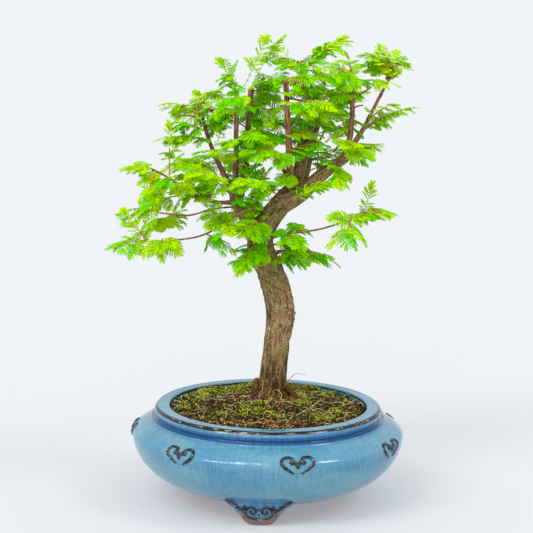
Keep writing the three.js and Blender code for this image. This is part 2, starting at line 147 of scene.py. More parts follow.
# Pot: a thrown bowl with an upright rim band and a broad flat lip, fired with a running blue
# glaze that breaks to brown on its edges and pools darker in the hollow under the rim.
belly_radius = (pot_high[0] - pot_low[0]) / 2
belly_height = 66.7 * mm
base_radius = 60 * mm
base_height = 13.5 * mm
neck_radius = 107 * mm
neck_height = 80.6 * mm
wall = 8 * mm
shoulder_power = 1.43
foot_azimuths = np.radians([-4, 116, 236])
foot_outline = np.array([
    [9.2, 0], [12.6, 1.6], [15.6, 4.6], [18.9, 10], [24.7, 16], [31.5, 20.8], [37, 25], [39, 29],
]) * mm
foot_sole_radius = 94 * mm
foot_face_top = np.array([105, 26]) * mm
foot_swell = 1.35
foot_back = 58 * mm
foot_squareness = 0.3
foot_edge = 1.4 * mm
inside_height = 21.5 * mm
pot_turns = 340
base_rows = (8, 20)
neck_row = 136


def soft_noise(across, along, seed, wrap=256):
    """Random heights from -1 to 1 over two numbers: a random value at each whole-number place,
    blended between the four nearest places by a smooth step. It repeats after wrap across."""
    table = np.random.default_rng(seed).uniform(-1, 1, (257, 256))
    left, low = np.floor(across).astype(int), np.floor(along).astype(int)
    u, v = across - left, along - low
    u, v = u * u * (3 - 2 * u), v * v * (3 - 2 * v)
    near, far = left % wrap, (left + 1) % wrap
    bottom, top = low % 256, (low + 1) % 256
    return (table[near, bottom] * (1 - u) + table[far, bottom] * u) * (1 - v) + (
        table[near, top] * (1 - u) + table[far, top] * u
    ) * v


def smooth_share(value, start, end):
    """0 before start and 1 after end, with a smooth step between them."""
    share = np.clip((value - start) / (end - start), 0, 1)
    return share * share * (3 - 2 * share)


def hump(value, middle, width):
    """A bell that is 1 at the middle and falls off over the width on either side."""
    return np.exp(-(((value - middle) / width) ** 2))


def unit(vectors):
    """The same directions with a length of one."""
    return vectors / np.maximum(np.linalg.norm(vectors, axis=-1, keepdims=True), 1e-12)


def distances(points):
    """The distance of each point from the first, along the line through them all."""
    return np.concatenate([[0], np.cumsum(np.linalg.norm(np.diff(points, axis=0), axis=1))])


def evenly_along(corners, count):
    """Places at even steps along a smooth curve through the corners: a centripetal Catmull-Rom
    spline, whose tangents come from the roots of the distances between the corners."""
    points = np.asarray(corners, float)
    points = np.vstack([2 * points[0] - points[1], points, 2 * points[-1] - points[-2]])
    gaps = np.sqrt(np.linalg.norm(np.diff(points, axis=0), axis=1))[:, None]
    before, span, after = gaps[:-2], gaps[1:-1], gaps[2:]
    a, b, c, d = points[:-3], points[1:-2], points[2:-1], points[3:]
    leave = span * ((b - a) / before - (c - a) / (before + span) + (c - b) / span)
    arrive = span * ((c - b) / span - (d - b) / (span + after) + (d - c) / after)
    t = np.linspace(0, 1, 60, endpoint=False)[None, :, None]
    leave, arrive, b, c = leave[:, None], arrive[:, None], b[:, None], c[:, None]
    bend = 3 * (c - b) - 2 * leave - arrive
    curve = b + leave * t + bend * t**2 + (2 * (b - c) + leave + arrive) * t**3
    curve = np.vstack([curve.reshape(-1, points.shape[1]), points[-2]])
    steps = distances(curve)
    wanted = np.linspace(0, steps[-1], count)
    return np.stack([np.interp(wanted, steps, column) for column in curve.T], axis=1)


def belly_line(angles, inset=0.0):
    """The quarter ellipse of the bowl from its base, at angle 0, to its widest place."""
    return np.stack([
        base_radius + (belly_radius - inset - base_radius) * np.sin(angles),
        belly_height - (belly_height - inset - base_height) * np.cos(angles),
    ], axis=1)


def pot_line():
    """Radius and height along the bowl's section: the middle of the underside, the belly, the
    shoulder, the hollow, the rim band, the lip, and the inside down to its floor."""
    under = np.stack([np.linspace(0.5 * mm, base_radius, 8), np.full(8, base_height)], axis=1)
    belly = belly_line(np.linspace(0, math.pi / 2, 56))
    turn = np.linspace(0, math.pi / 2, 70)[1:]
    shoulder = np.stack([
        neck_radius + (belly_radius - neck_radius) * np.cos(turn) ** shoulder_power,
        belly_height + (neck_height - belly_height) * np.sin(turn) ** shoulder_power,
    ], axis=1)
    rim_corners = np.array([
        [107, 80.6], [106.1, 80.9], [106.3, 82.2], [107.7, 83.6], [108.7, 85.6], [109.1, 87.2],
        [108.4, 89.2], [107, 91.1], [105.4, 92.1], [101, 92], [96.6, 92], [95.2, 91.5],
        [94.5, 90.2], [94.5, 87], [94.5, 80.6],
    ]) * mm
    rim = evenly_along(rim_corners, 64)[1:]
    inner = belly_line(np.linspace(math.pi / 2 - 0.3, 0.05, 12), wall)
    floor_line = np.array([[45, 21.5], [20, 21.5], [0.5, 21.5]]) * mm
    return np.vstack([under[:-1], belly, shoulder, rim, inner, floor_line])


def round_pot(radius, height, angle):
    """Places round the pot's axis: angle 0 is the front, and it grows towards +X."""
    radius, height, angle = np.broadcast_arrays(radius, height, angle)
    return pot_axis + np.stack([radius * np.sin(angle), -radius * np.cos(angle), height], axis=-1)


def ring_ways(turn, side, lift):
    """Arrows from a line to a ring round it: the side turned towards the lift by each angle."""
    return np.cos(turn)[:, None] * side[..., None, :] + np.sin(turn)[:, None] * lift[..., None, :]


def closed_bodies(rings, starts, ends):
    """Vertices and triangles of closed bodies. rings is (bodies, stations, corners, 3), with
    the corners anticlockwise about the way along, and each end closes to its own place."""
    bodies, stations, corners = rings.shape[:3]
    size = stations * corners + 2
    places = np.concatenate([rings.reshape(bodies, -1, 3), starts[:, None], ends[:, None]], axis=1)
    k = np.arange(corners)
    after = (k + 1) % corners
    row = np.arange(stations - 1)[:, None] * corners
    last = (stations - 1) * corners
    side = [np.stack([row + k, row + after, row + after + corners], axis=-1).reshape(-1, 3),
            np.stack([row + k, row + after + corners, row + k + corners], axis=-1).reshape(-1, 3)]
    first_cap = np.stack([np.full(corners, size - 2), after, k], axis=-1)
    last_cap = np.stack([np.full(corners, size - 1), last + k, last + after], axis=-1)
    one = np.concatenate([*side, first_cap, last_cap])
    triangles = (np.arange(bodies)[:, None, None] * size + one).reshape(-1, 3)
    return places.reshape(-1, 3), triangles


def on_bodies(values, start=0.0, end=0.0):
    """Values on the rings of closed bodies, with those of the two end places added."""
    bodies = values.shape[0]
    flat = values.reshape(bodies, -1)
    return np.concatenate([flat, np.full((bodies, 1), start), np.full((bodies, 1), end)], axis=1).ravel()


def mesh_piece(name, places, faces, material, slot, **layers):
    """A smooth piece of the plant from arrays, with its values and vectors per vertex, and the
    material it is given. It rides on the one body. The slot is not used."""
    mesh = bpy.data.meshes.new(name)
    mesh.vertices.add(len(places))
    mesh.vertices.foreach_set("co", np.ascontiguousarray(places, np.float32).ravel())
    mesh.loops.add(faces.size)
    mesh.loops.foreach_set("vertex_index", np.ascontiguousarray(faces, np.int32).ravel())
    mesh.polygons.add(len(faces))
    mesh.polygons.foreach_set("loop_start", np.arange(0, faces.size, faces.shape[1], dtype=np.int32))
    mesh.polygons.foreach_set("use_smooth", np.ones(len(faces), bool))
    mesh.update(calc_edges=True)
    for label, values in layers.items():
        kind, field = ("FLOAT", "value") if values.ndim == 1 else ("FLOAT_VECTOR", "vector")
        layer = mesh.attributes.new(label, kind, "POINT")
        layer.data.foreach_set(field, values.astype(np.float32).ravel())
    mesh.materials.append(material)
    piece = bpy.data.objects.new(name, mesh)
    bpy.context.collection.objects.link(piece)
    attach(piece, "root")
    return piece


def joined(bodies):
    """One set of vertices and triangles from several."""
    counts = np.cumsum([0] + [len(places) for places, _ in bodies[:-1]])
    places = np.concatenate([places for places, _ in bodies])
    return places, np.concatenate([faces + start for (_, faces), start in zip(bodies, counts)])


pot_section = pot_line()
section_radius, section_height = pot_section.T
pot_rows = np.arange(len(pot_section))
pot_steps = distances(pot_section)
section_way = np.gradient(pot_section, axis=0)
section_out = unit(np.stack([section_way[:, 1], -section_way[:, 0]], axis=1))
angles = np.arange(pot_turns) * 2 * math.pi / pot_turns
outer_side = smooth_share(pot_rows, *base_rows) * (pot_rows < neck_row)
unevenness = 0.28 * mm * soft_noise(angles * 9 / (2 * math.pi), pot_steps[:, None] / (30 * mm), 3, 9)
on_ridge = (section_height > 68 * mm) & (section_height < 80 * mm)
shoulder_ridge = 1.1 * mm * hump(section_radius, 111.6 * mm, 1.1 * mm) * on_ridge
shift = unevenness * outer_side[:, None] + shoulder_ridge[:, None]
pot_radius = section_radius[:, None] + shift * section_out[:, :1]
pot_height = section_height[:, None] + shift * section_out[:, 1:]
pot_rings = round_pot(pot_radius, pot_height, angles)
bowl_ends = [pot_axis[None] + [0, 0, height] for height in (base_height, inside_height)]
bowl = closed_bodies(pot_rings[None], *bowl_ends)


def foot_face_radius(height):
    """The radius of a foot's outer face, which swells outwards from the sole to the bowl."""
    share = np.clip(height / foot_face_top[1], 0, 1)
    return foot_sole_radius + (foot_face_top[0] - foot_sole_radius) * (1 - (1 - share) ** foot_swell)


def foot_body(azimuth):
    """A foot from sole to top. Each level is a block with rounded corners, as wide as the
    outline there, whose face bends round the pot's axis; the sole's edge is rounded off."""
    height = np.concatenate([[0, 0.15, 0.6, 1.4], np.linspace(2.4, 28, 30)])[:, None] * mm
    turn = np.linspace(0, 2 * math.pi, 72, endpoint=False)
    round_off = foot_edge * (1 - smooth_share(height, 0, 1.8 * mm)) ** 2
    half_width = np.interp(height, foot_outline[:, 1], foot_outline[:, 0]) - round_off
    across = half_width * np.sign(np.cos(turn)) * np.abs(np.cos(turn)) ** foot_squareness
    outwards = (1 + np.sign(np.sin(turn)) * np.abs(np.sin(turn)) ** foot_squareness) / 2
    face = foot_face_radius(height) - round_off
    reach = foot_back + (np.sqrt(face**2 - across**2) - foot_back) * outwards
    ahead = np.array([math.sin(azimuth), -math.cos(azimuth), 0])
    aside = np.array([math.cos(azimuth), math.sin(azimuth), 0])
    rings = pot_axis + reach[..., None] * ahead + across[..., None] * aside
    rings[..., 2] += np.broadcast_to(height, across.shape)
    middle = (foot_back + foot_sole_radius) / 2 * ahead + pot_axis
    return closed_bodies(rings[None, :, ::-1], middle[None], middle[None] + [0, 0, height[-1, 0]])


feet = joined([foot_body(azimuth) for azimuth in foot_azimuths])


# Raised lines: a cloud-head heart seven times round the belly, and a scroll with two wings on
# each foot. They were trailed on in slip, and the glaze breaks to dark brown on their backs.
heart_places = [
    (12.1, 66), (62.6, 64.6), (115, 65), (166.4, 64.6), (217.9, 65), (269.3, 65.4), (321.8, 66.2),
]
heart_lobe = [
    (-3.2, -7), (-8.3, -3.6), (-13, 0), (-15, 2.9), (-13.4, 5.7), (-8.9, 6.6), (-4.8, 5.6),
    (-3.6, 3.2), (-5.6, 2), (-7.4, 3.2), (-6.2, 4.3),
]
heart_middle = [[(-2.8, 3.8), (-1.2, 1.7), (0, -0.6), (0.1, -2.4)], [(2.8, 3.8), (1.3, 2), (0.4, 0.4)]]
scroll_wing = [
    (-30.5, 26), (-26.5, 24.2), (-22.5, 21.8), (-18.6, 18.8), (-15.4, 17.6), (-13.2, 19.4), (-13.6, 22),
]
scroll_arc = [
    (-15.6, 15.6), (-12.8, 12), (-9, 9.4), (-4.6, 8), (0, 7.6), (4.6, 8), (9, 9.4), (12.8, 12),
    (15.6, 15.6),
]
scroll_curl = [
    (-11.6, 13), (-11.4, 17), (-8.8, 20), (-5.2, 20), (-2.8, 17.4), (-3.4, 14.2), (-6, 13),
    (-7.8, 15.2), (-6.2, 16.6),
]
scroll_bar = [(-15.4, 14.6), (-14.6, 12.6), (-14, 11)]
scroll_middle = [[(0, 19.6), (0.2, 18), (0, 16.4)], [(-0.2, 12.8), (0, 11.8), (0.2, 10.8)]]


def flipped(line):
    """The same line on the other side of its middle."""
    return [(-across, height) for across, height in line]


def raised_line(line, surface, width, proud_by):
    """A half-sunk bead along a line drawn on a surface, tapering to its two ends. surface gives
    the place of (across, height), and the bead's back points away from the surface."""
    drawn = evenly_along(np.array(line) * mm, max(14, int(5 * len(line))))
    centre = surface(drawn[:, 0], drawn[:, 1])
    nudge = 0.05 * mm
    across = surface(drawn[:, 0] + nudge, drawn[:, 1]) - centre
    upwards = surface(drawn[:, 0], drawn[:, 1] + nudge) - centre
    outwards = unit(np.cross(across, upwards))
    side = np.cross(unit(np.gradient(centre, axis=0)), outwards)
    share = np.linspace(0, 1, len(drawn))
    taper = np.sqrt(np.clip(4 * np.minimum(share, 1 - share) + 0.12, 0, 1))[:, None]
    turn = np.linspace(0, 2 * math.pi, 10, endpoint=False)
    ring = centre[:, None] + ring_ways(turn, side * width / 2 * taper, -outwards * proud_by * taper)
    back = np.broadcast_to(np.clip(-np.sin(turn), 0, 1), ring.shape[:2])
    return closed_bodies(ring[None], centre[:1], centre[-1:]), on_bodies(back[None])


def belly_surface(azimuth, middle_height):
    """The bowl's surface, by distance across from an azimuth and height above a middle."""
    def place(across, height):
        level = middle_height + height
        cosine = np.clip((belly_height - level) / (belly_height - base_height), 0, 1)
        low = base_radius + (belly_radius - base_radius) * np.sqrt(1 - cosine**2)
        climb = np.clip((level - belly_height) / (neck_height - belly_height), 0, 1)
        sine = climb ** (1 / shoulder_power)
        high = neck_radius + (belly_radius - neck_radius) * np.sqrt(1 - sine**2) ** shoulder_power
        radius = np.where(level < belly_height, low, high)
        return round_pot(radius, level, azimuth + across / belly_radius)
    return place


def foot_surface(azimuth):
    """A foot's outer face, by distance across from its middle and height above the ground."""
    def place(across, height):
        radius = foot_face_radius(height)
        return round_pot(radius, height, azimuth + np.arcsin(across / radius))
    return place


heart_lines = [(line, 3.3, 1.6) for line in (heart_lobe, flipped(heart_lobe))]
heart_lines += [(line, 3.6, 1.6) for line in heart_middle]
scroll_lines = [(line, 4.6, 2) for line in (scroll_wing, flipped(scroll_wing))]
scroll_lines += [(line, 3, 1.5) for line in (scroll_curl, flipped(scroll_curl), scroll_arc)]
scroll_lines += [(line, 1.7, 0.9) for line in (scroll_bar, flipped(scroll_bar), *scroll_middle)]
belly_places = [belly_surface(math.radians(azimuth), height * mm) for azimuth, height in heart_places]
foot_faces = [foot_surface(azimuth) for azimuth in foot_azimuths]
lines = [
    raised_line(line, surface, width * mm, proud_by * mm)
    for surfaces, motif in ((belly_places, heart_lines), (foot_faces, scroll_lines))
    for surface in surfaces
    for line, width, proud_by in motif
]
raised = joined([body for body, _ in lines])
raised_back = np.concatenate([back for _, back in lines])


# Glaze: glossy, mottled between teal and a deeper blue that runs in fine upright streaks. It
# is brown where it lies thin, dark blue where it pools, and stops short of the clay soles. On
# the crests of the lip and the raised lines it has pale tan dashes that run round the pot:
# partly the glaze breaking to clay, partly painted highlights.
def new_group(name, inputs, outputs):
    """An empty node group with named sockets: inputs with their kinds and first values."""
    group = bpy.data.node_groups.new(name, "ShaderNodeTree")
    for label, kind, value in inputs:
        socket = group.interface.new_socket(label, in_out="INPUT", socket_type=f"NodeSocket{kind}")
        if value is not None:
            socket.default_value = value
    for label, kind in outputs:
        group.interface.new_socket(label, in_out="OUTPUT", socket_type=f"NodeSocket{kind}")
    return group, add_node(group, "NodeGroupInput").outputs, add_node(group, "NodeGroupOutput").inputs


def mottled(tree, place, scale, detail, low=0.0, high=1.0):
    """The mottle's outputs at a place's socket: its Height, and its Mask from low to high."""
    return add_node(tree, "ShaderNodeGroup", {
        "Vector": place, "Scale": scale, "Detail": detail, "Low": low, "High": high,
    }, node_tree=mottle).outputs


def carried(tree, name, output="Fac"):
    """A value, or as Vector a vector, that the mesh carries under a name."""
    return add_node(tree, "ShaderNodeAttribute", attribute_name=name).outputs[output]


def object_place(tree):
    """The place on the piece itself, in metres."""
    return add_node(tree, "ShaderNodeTexCoord").outputs["Object"]


def rescaled(tree, vector, *scale):
    """A vector with each of its parts times its own number."""
    return add_node(tree, "ShaderNodeMapping", {"Vector": vector, "Scale": scale}).outputs["Vector"]


def computed(tree, operation, *values):
    """The result of a math node, such as MULTIPLY, from numbers or sockets."""
    return add_node(tree, "ShaderNodeMath", dict(enumerate(values)), operation=operation).outputs[0]


def painted(tree, colour, *layers):
    """A display colour from 0 to 255 with layers over it. Each layer is a share, a display
    colour or a colour's socket, and where it isn't plain paint a kind of blend."""
    colour = srgb(*colour)
    for share, over, *kind in layers:
        over = srgb(*over) if isinstance(over, tuple) else over
        sockets = {0: share, 6: colour, 7: over}
        blend = kind[0] if kind else "MIX"
        colour = add_node(tree, "ShaderNodeMix", sockets, data_type="RGBA", blend_type=blend).outputs[2]
    return colour


def bumped(tree, *layers):
    """The normal after bumps over each other, each with a height, a strength and a depth."""
    before = {}
    for height, strength, depth in layers:
        bump = add_node(tree, "ShaderNodeBump", {
            "Height": height, "Strength": strength, "Distance": depth * mm, **before,
        })
        before = {"Normal": bump.outputs["Normal"]}
    return before["Normal"]


def drive(tree, shader, **sockets):
    """Links what was worked out in a material to its shader."""
    for name, value in sockets.items():
        tree.links.new(value, shader.inputs[name.replace("_", " ")])


mottle, mottle_in, mottle_out = new_group("mottle", [
    ("Vector", "Vector", None), ("Scale", "Float", 10.0), ("Detail", "Float", 3.0),
    ("Low", "Float", 0.4), ("High", "Float", 0.6),
], [("Mask", "Float"), ("Height", "Float")])
mottle_noise = add_node(mottle, "ShaderNodeTexNoise", {
    "Vector": mottle_in["Vector"], "Scale": mottle_in["Scale"], "Detail": mottle_in["Detail"],
    "Roughness": 0.6,
}).outputs["Fac"]
mottle_mask = stretched(mottle, mottle_noise, mottle_in["Low"], mottle_in["High"])
mottle.links.new(mottle_mask, mottle_out["Mask"])
mottle.links.new(mottle_noise, mottle_out["Height"])

glaze, tree, shader = new_material("running blue glaze", Coat_Weight=0.35, Coat_Roughness=0.06)
place = object_place(tree)
run_place = carried(tree, "run", "Vector")
flat_place = rescaled(tree, place, 1.0, 1.0, 2.2)
round_place = rescaled(tree, run_place, 0.3, 0.3, 30.0)
clouds = mottled(tree, flat_place, 20.0, 5.0, 0.38, 0.62)
flecks = mottled(tree, place, 330.0, 4.0, 0.42, 0.7)
streaks = mottled(tree, run_place, 520.0, 4.0, 0.42, 0.66)
bands = mottled(tree, round_place, 70.0, 4.0, 0.4, 0.62)
# Pale tan dashes on thin crests, drawn out round the pot: partly the glaze breaking to clay, partly
# painted highlights.
breaks_and_glints = mottled(tree, round_place, 380.0, 2.0, 0.55, 0.62)
fray = mottled(tree, place, 120.0, 4.0)["Height"]
waves = mottled(tree, flat_place, 170.0, 2.0)["Height"]
pits = add_node(tree, "ShaderNodeTexVoronoi", {"Vector": place, "Scale": 70.0}).outputs["Distance"]
pool_edge = computed(tree, "MULTIPLY_ADD", streaks["Height"], 0.7, carried(tree, "pool"))
thin_edge = computed(tree, "MULTIPLY_ADD", fray, 0.8, carried(tree, "thin"))
bare_edge = computed(tree, "MULTIPLY_ADD", fray, 0.35, carried(tree, "bare"))
thin_share = stretched(tree, thin_edge, 0.82, 1.06)
crest_break_and_glint_share = stretched(tree, thin_edge, 1.36, 1.56)
bare_share = stretched(tree, bare_edge, 0.66, 0.74)
glaze_colour = painted(
    tree, (78, 138, 166),
    (clouds["Mask"], (106, 160, 172)),
    (computed(tree, "MULTIPLY", bands["Mask"], 0.4), (76, 140, 178)),
    (computed(tree, "MULTIPLY", streaks["Mask"], carried(tree, "flow")), (50, 106, 156)),
    (computed(tree, "MULTIPLY", flecks["Mask"], 0.4), (54, 106, 150)),
    (stretched(tree, pool_edge, 0.45, 1.25), (30, 84, 138)),
    (thin_share, (24, 10, 4)),
    # Painted highlights on the crests of the lip and the raised lines, partly the glaze breaking to clay.
    (computed(tree, "MULTIPLY", breaks_and_glints["Mask"], crest_break_and_glint_share), (176, 152, 134)),
    (stretched(tree, pits, 0.06, 0.04), (34, 26, 30)),
    (bare_share, painted(tree, (138, 112, 104), (flecks["Mask"], (104, 76, 66)))),
)
dull_share = computed(tree, "MAXIMUM", bare_share, thin_share)
drive(
    tree, shader, Base_Color=glaze_colour, Roughness=stretched(tree, bare_share, 0.0, 1.0, 0.12, 0.8),
    Coat_Weight=stretched(tree, dull_share, 0.0, 1.0, 0.15, 0.0),
    Normal=bumped(
        tree, (clouds["Height"], 0.35, 1.2), (waves, 0.5, 0.3), (flecks["Height"], 0.3, 0.3),
    ),
)


def near_section(radius, height, reach, rise):
    """1 at one place of the bowl's section, and falling off from it. All in millimetres."""
    return hump(section_radius, radius * mm, reach * mm) * hump(section_height, height * mm, rise * mm)


def all_round(values):
    """The same values along the section at every turn of the bowl."""
    return values[:, None] * np.ones(pot_turns)


def foot_bareness(places):
    """Bare clay under a curved edge of the glaze, which rises towards a foot's two sides, and
    over the foot's whole back."""
    flat = places - pot_axis
    azimuth = np.arctan2(flat[:, 0], -flat[:, 1])
    away = np.abs((azimuth[:, None] - foot_azimuths + np.pi) % (2 * np.pi) - np.pi)
    reach = np.hypot(flat[:, 0], flat[:, 1])
    lateral = reach * np.sin(azimuth - foot_azimuths[np.argmin(away, axis=1)])
    edge = 6.8 * mm + 8.5 * mm * (1 - hump(lateral, 0, 15 * mm))
    bare = 1 - smooth_share(flat[:, 2], edge - 0.8 * mm, edge + 0.8 * mm)
    return np.where(reach < 80 * mm, 1, bare)


lip_thin = 1.25 * near_section(108, 90.9, 2.2, 1.9) + 0.8 * near_section(94.6, 90.4, 0.9, 1.4)
thin = lip_thin[:, None] * (1 + 0.3 * soft_noise(angles * 14 / (2 * math.pi), 0 * angles, 8, 14))
hollow_pool = near_section(106.2, 81.6, 3.2, 2.6)
band_pool = 0.5 * hump(section_height, 84.5 * mm, 4.5 * mm) * (section_radius > 106 * mm)
on_shoulder = (section_height > 70 * mm) & (section_height < 82 * mm)
shoulder_pool = 0.75 * smooth_share(-section_radius, -119 * mm, -106 * mm) * on_shoulder
belly_pool = 0.24 * hump(section_height, 59.5 * mm, 5 * mm) * (section_radius > 110 * mm)
pool = all_round(np.max([hollow_pool, shoulder_pool, band_pool, belly_pool], axis=0))
flow = all_round(0.22 + 0.35 * smooth_share(-section_radius, -118 * mm, -108 * mm))
bare = all_round((1 - smooth_share(section_radius, 94 * mm, 99 * mm)) * (pot_rows < neck_row))
run_stretch = 0.06
run_across = np.stack([np.sin(angles), np.cos(angles)], axis=1) * belly_radius
run = np.concatenate([
    np.broadcast_to(run_across, (len(pot_section), pot_turns, 2)),
    np.broadcast_to(pot_steps[:, None, None] * run_stretch, (len(pot_section), pot_turns, 1)),
], axis=2).reshape(-1, 3)
run_other = np.concatenate([feet[0], raised[0]]) * [1, 1, run_stretch]
foot_pool = 0.3 + 0.3 * smooth_share(feet[0][:, 2], 19 * mm, 25 * mm)
foot_zeros, raised_zeros = np.zeros(len(feet[0])), np.zeros(len(raised[0]))
pot = mesh_piece(
    "glazed_pot", *joined([bowl, feet, raised]), glaze, "glaze",
    thin=np.concatenate([on_bodies(thin[None]), foot_zeros, 0.2 + 0.9 * raised_back]),
    pool=np.concatenate([on_bodies(pool[None]), foot_pool, raised_zeros + 0.4]),
    bare=np.concatenate([on_bodies(bare[None], 1, 0), foot_bareness(feet[0]), raised_zeros]),
    flow=np.concatenate([on_bodies(flow[None]), foot_zeros + 0.7, raised_zeros + 0.7]),
    run=np.vstack([run, run[:2], run_other]),
)
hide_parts("pot")


# Soil: a moist dark potting mix that rises in a low mound to the trunk's foot. It is lumpy,
# bound by fine roots, and partly grown over by moss, with shed needles lying about.
soil_radius = 94.2 * mm
soil_edge_height = 87 * mm
soil_crown_height = 94.7 * mm
mound_flat_radius = 16 * mm
mound_radius = 92 * mm
trunk_foot = pot_axis[:2] + np.array([3.6, 22.0]) * mm
soil_floor = np.array([0, 0, 84 * mm])
moss_patches = np.array([
    [-62, 38, 20], [-34, 56, 20], [-74, 8, 11], [30, 60, 22], [58, 48, 14], [-4, -12, 13], [-18, -34, 12],
    [8, -40, 9], [52, -46, 13], [68, -22, 10], [-44, -34, 8], [76, 20, 10], [0, 78, 16], [-82, -18, 8],
    [34, -8, 8], [14, 24, 26],
]) * mm


def mossiness(x, y):
    """How mossy the soil is at a place: bells round the patches, frayed by noise."""
    dx, dy = x - pot_axis[0], y - pot_axis[1]
    patches = sum(np.exp(-((dx - a) ** 2 + (dy - b) ** 2) / width**2) for a, b, width in moss_patches)
    fray = soft_noise(dx / (5 * mm), dy / (5 * mm), 21)
    fray = fray + 0.7 * soft_noise(dx / (2.2 * mm), dy / (2.2 * mm), 22)
    return smooth_share(patches + 0.75 * fray, 0.55, 1.05)


def soil_height(x, y):
    """The height of the soil: a smooth mound round the trunk's foot, lumps in three sizes, and
    cushions of moss."""
    reach = np.hypot(x - pot_axis[0], y - pot_axis[1]) / soil_radius
    from_foot = np.hypot(x - trunk_foot[0], y - trunk_foot[1])
    inwards = np.clip(1 - reach, 0, 1)
    mound = 1 - smooth_share(from_foot, mound_flat_radius, mound_radius)
    edge = soil_edge_height + 2.2 * mm * smooth_share(inwards, 0, 0.05)
    base = edge + (soil_crown_height - edge) * mound * smooth_share(inwards, 0, 0.25)
    lumps = sum(
        size * mm * soft_noise(x / (width * mm) + 40, y / (width * mm) + 40, seed)
        for size, width, seed in [(1.5, 11, 23), (1.7, 4.2, 24), (0.9, 1.9, 25)]
    )
    cushions = 1.9 * mm * mossiness(x, y)
    return base + (lumps + cushions) * smooth_share(inwards, 0, 0.06) - 0.4 * mm


soil_rows = 176
soil_turns = 550
share = np.sqrt(np.linspace(0.0001, 1, soil_rows))[::-1]
turn = np.arange(soil_turns) * 2 * math.pi / soil_turns
soil_x = pot_axis[0] + soil_radius * share[:, None] * np.sin(turn)
soil_y = -soil_radius * share[:, None] * np.cos(turn)
soil_top = np.stack([soil_x, soil_y, soil_height(soil_x, soil_y)], axis=-1)
soil_under = soil_top[:1] * [1, 1, 0] + soil_floor
soil_rings = np.concatenate([soil_under, soil_top])
soil_body = closed_bodies(soil_rings[None], (pot_axis + soil_floor)[None], soil_top[-1:].mean(axis=1))
soil_moss = on_bodies(mossiness(soil_rings[..., 0], soil_rings[..., 1])[None])

soil_material, tree, shader = new_material("mossy potting mix", Roughness=0.9, Specular_IOR_Level=0.08)
place = object_place(tree)
crumbs = mottled(tree, place, 420.0, 5.0, 0.36, 0.68)
stains = mottled(tree, place, 90.0, 3.0, 0.42, 0.62)
strands = mottled(tree, place, 1100.0, 2.0, 0.5, 0.66)
soil_colour = painted(
    tree, (16, 14, 7),
    (crumbs["Mask"], (76, 66, 36)),
    (stains["Mask"], (92, 88, 42), "SOFT_LIGHT"),
    (computed(tree, "MULTIPLY", strands["Mask"], 0.5), (122, 98, 56)),
    (carried(tree, "moss"), painted(tree, (34, 42, 8), (crumbs["Mask"], (112, 126, 26)))),
)
drive(tree, shader, Base_Color=soil_colour, Normal=bumped(tree, (crumbs["Height"], 0.9, 1.0)))
soil_piece = mesh_piece("potting_mix", *soil_body, soil_material, "soil", moss=soil_moss)
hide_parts("soil")


# Moss, shed needles, crumbs and fine roots on the soil: thousands of small closed bodies, each
# of a few faces, made as joined meshes by kind and colour.
def plain_finish(name, colour, roughness, **sockets):
    """A matt finish of one colour, with a roughness that varies a little over the surface."""
    sockets = {"Base_Color": srgb(*colour), "Specular_IOR_Level": 0.1, **sockets}
    material, tree, shader = new_material(name, **sockets)
    worn = mottled(tree, object_place(tree), 300.0, 2.0, 0.3, 0.7)["Mask"]
    drive(tree, shader, Roughness=stretched(tree, worn, 0.0, 1.0, roughness - 0.1, roughness + 0.1))
    return material


def on_soil(draw, count, reach=0.97):
    """Random places spread evenly over the soil, outside the trunk's foot."""
    radius = soil_radius * reach * np.sqrt(draw.random(count * 2))
    turn = 2 * math.pi * draw.random(count * 2)
    x, y = pot_axis[0] + radius * np.sin(turn), -radius * np.cos(turn)
    clear = np.hypot(x - trunk_foot[0], y - trunk_foot[1]) > 15 * mm
    x, y = x[clear][:count], y[clear][:count]
    return np.stack([x, y, soil_height(x, y)], axis=1)


def spikes(draw, feet, lengths, width, spread):
    """Small three-sided spikes that stand on their feet, leaning by a random share of spread."""
    count = len(feet)
    lean = spread * draw.normal(size=(count, 2))
    way = unit(np.column_stack([lean, np.ones(count)]))
    side = unit(np.cross(way, draw.normal(size=(count, 3))))
    lift = np.cross(way, side)
    widths = width * (0.7 + 0.6 * draw.random(count))[:, None, None]
    ring = feet[:, None] + 0.3 * (way * lengths[:, None])[:, None]
    ring = ring + widths * ring_ways(np.radians([0, 120, 240]), side, lift)
    return closed_bodies(ring[:, None], feet - way * 0.5 * mm, feet + way * lengths[:, None])


def strips(paths, sides, lifts, widths, thickness):
    """Flat slim bodies along paths of (bodies, stations, 3): four-cornered between the first
    and the last station, pointed at both, sides across and lifts through the flat."""
    across = sides[:, None] * widths[:, 1:-1, None]
    through = lifts[:, None] * thickness * np.ones_like(across)
    rings = paths[:, 1:-1, None] + ring_ways(np.radians([0, 90, 180, 270]), across, through)
    return closed_bodies(rings, paths[:, 0], paths[:, -1])


moss_count = 26000
draw = np.random.default_rng(31)
moss_feet = on_soil(draw, moss_count)
mossy_here = mossiness(moss_feet[:, 0], moss_feet[:, 1])
moss_feet = moss_feet[mossy_here > 0.35 + 0.4 * draw.random(len(moss_feet))]
moss_lengths = (1.0 + 1.5 * draw.random(len(moss_feet))) * mm
moss_tints = [
    ("moss_bright", (222, 226, 72)), ("moss_green", (112, 138, 24)), ("moss_olive", (104, 96, 34)),
]
moss_share = draw.choice(3, len(moss_feet), p=[0.32, 0.38, 0.3])
for k, (name, colour) in enumerate(moss_tints):
    chosen = moss_share == k
    places, faces = spikes(draw, moss_feet[chosen], moss_lengths[chosen], 0.38 * mm, 0.55)
    mesh_piece(name, places, faces, plain_finish(name, colour, 0.75), "soil")

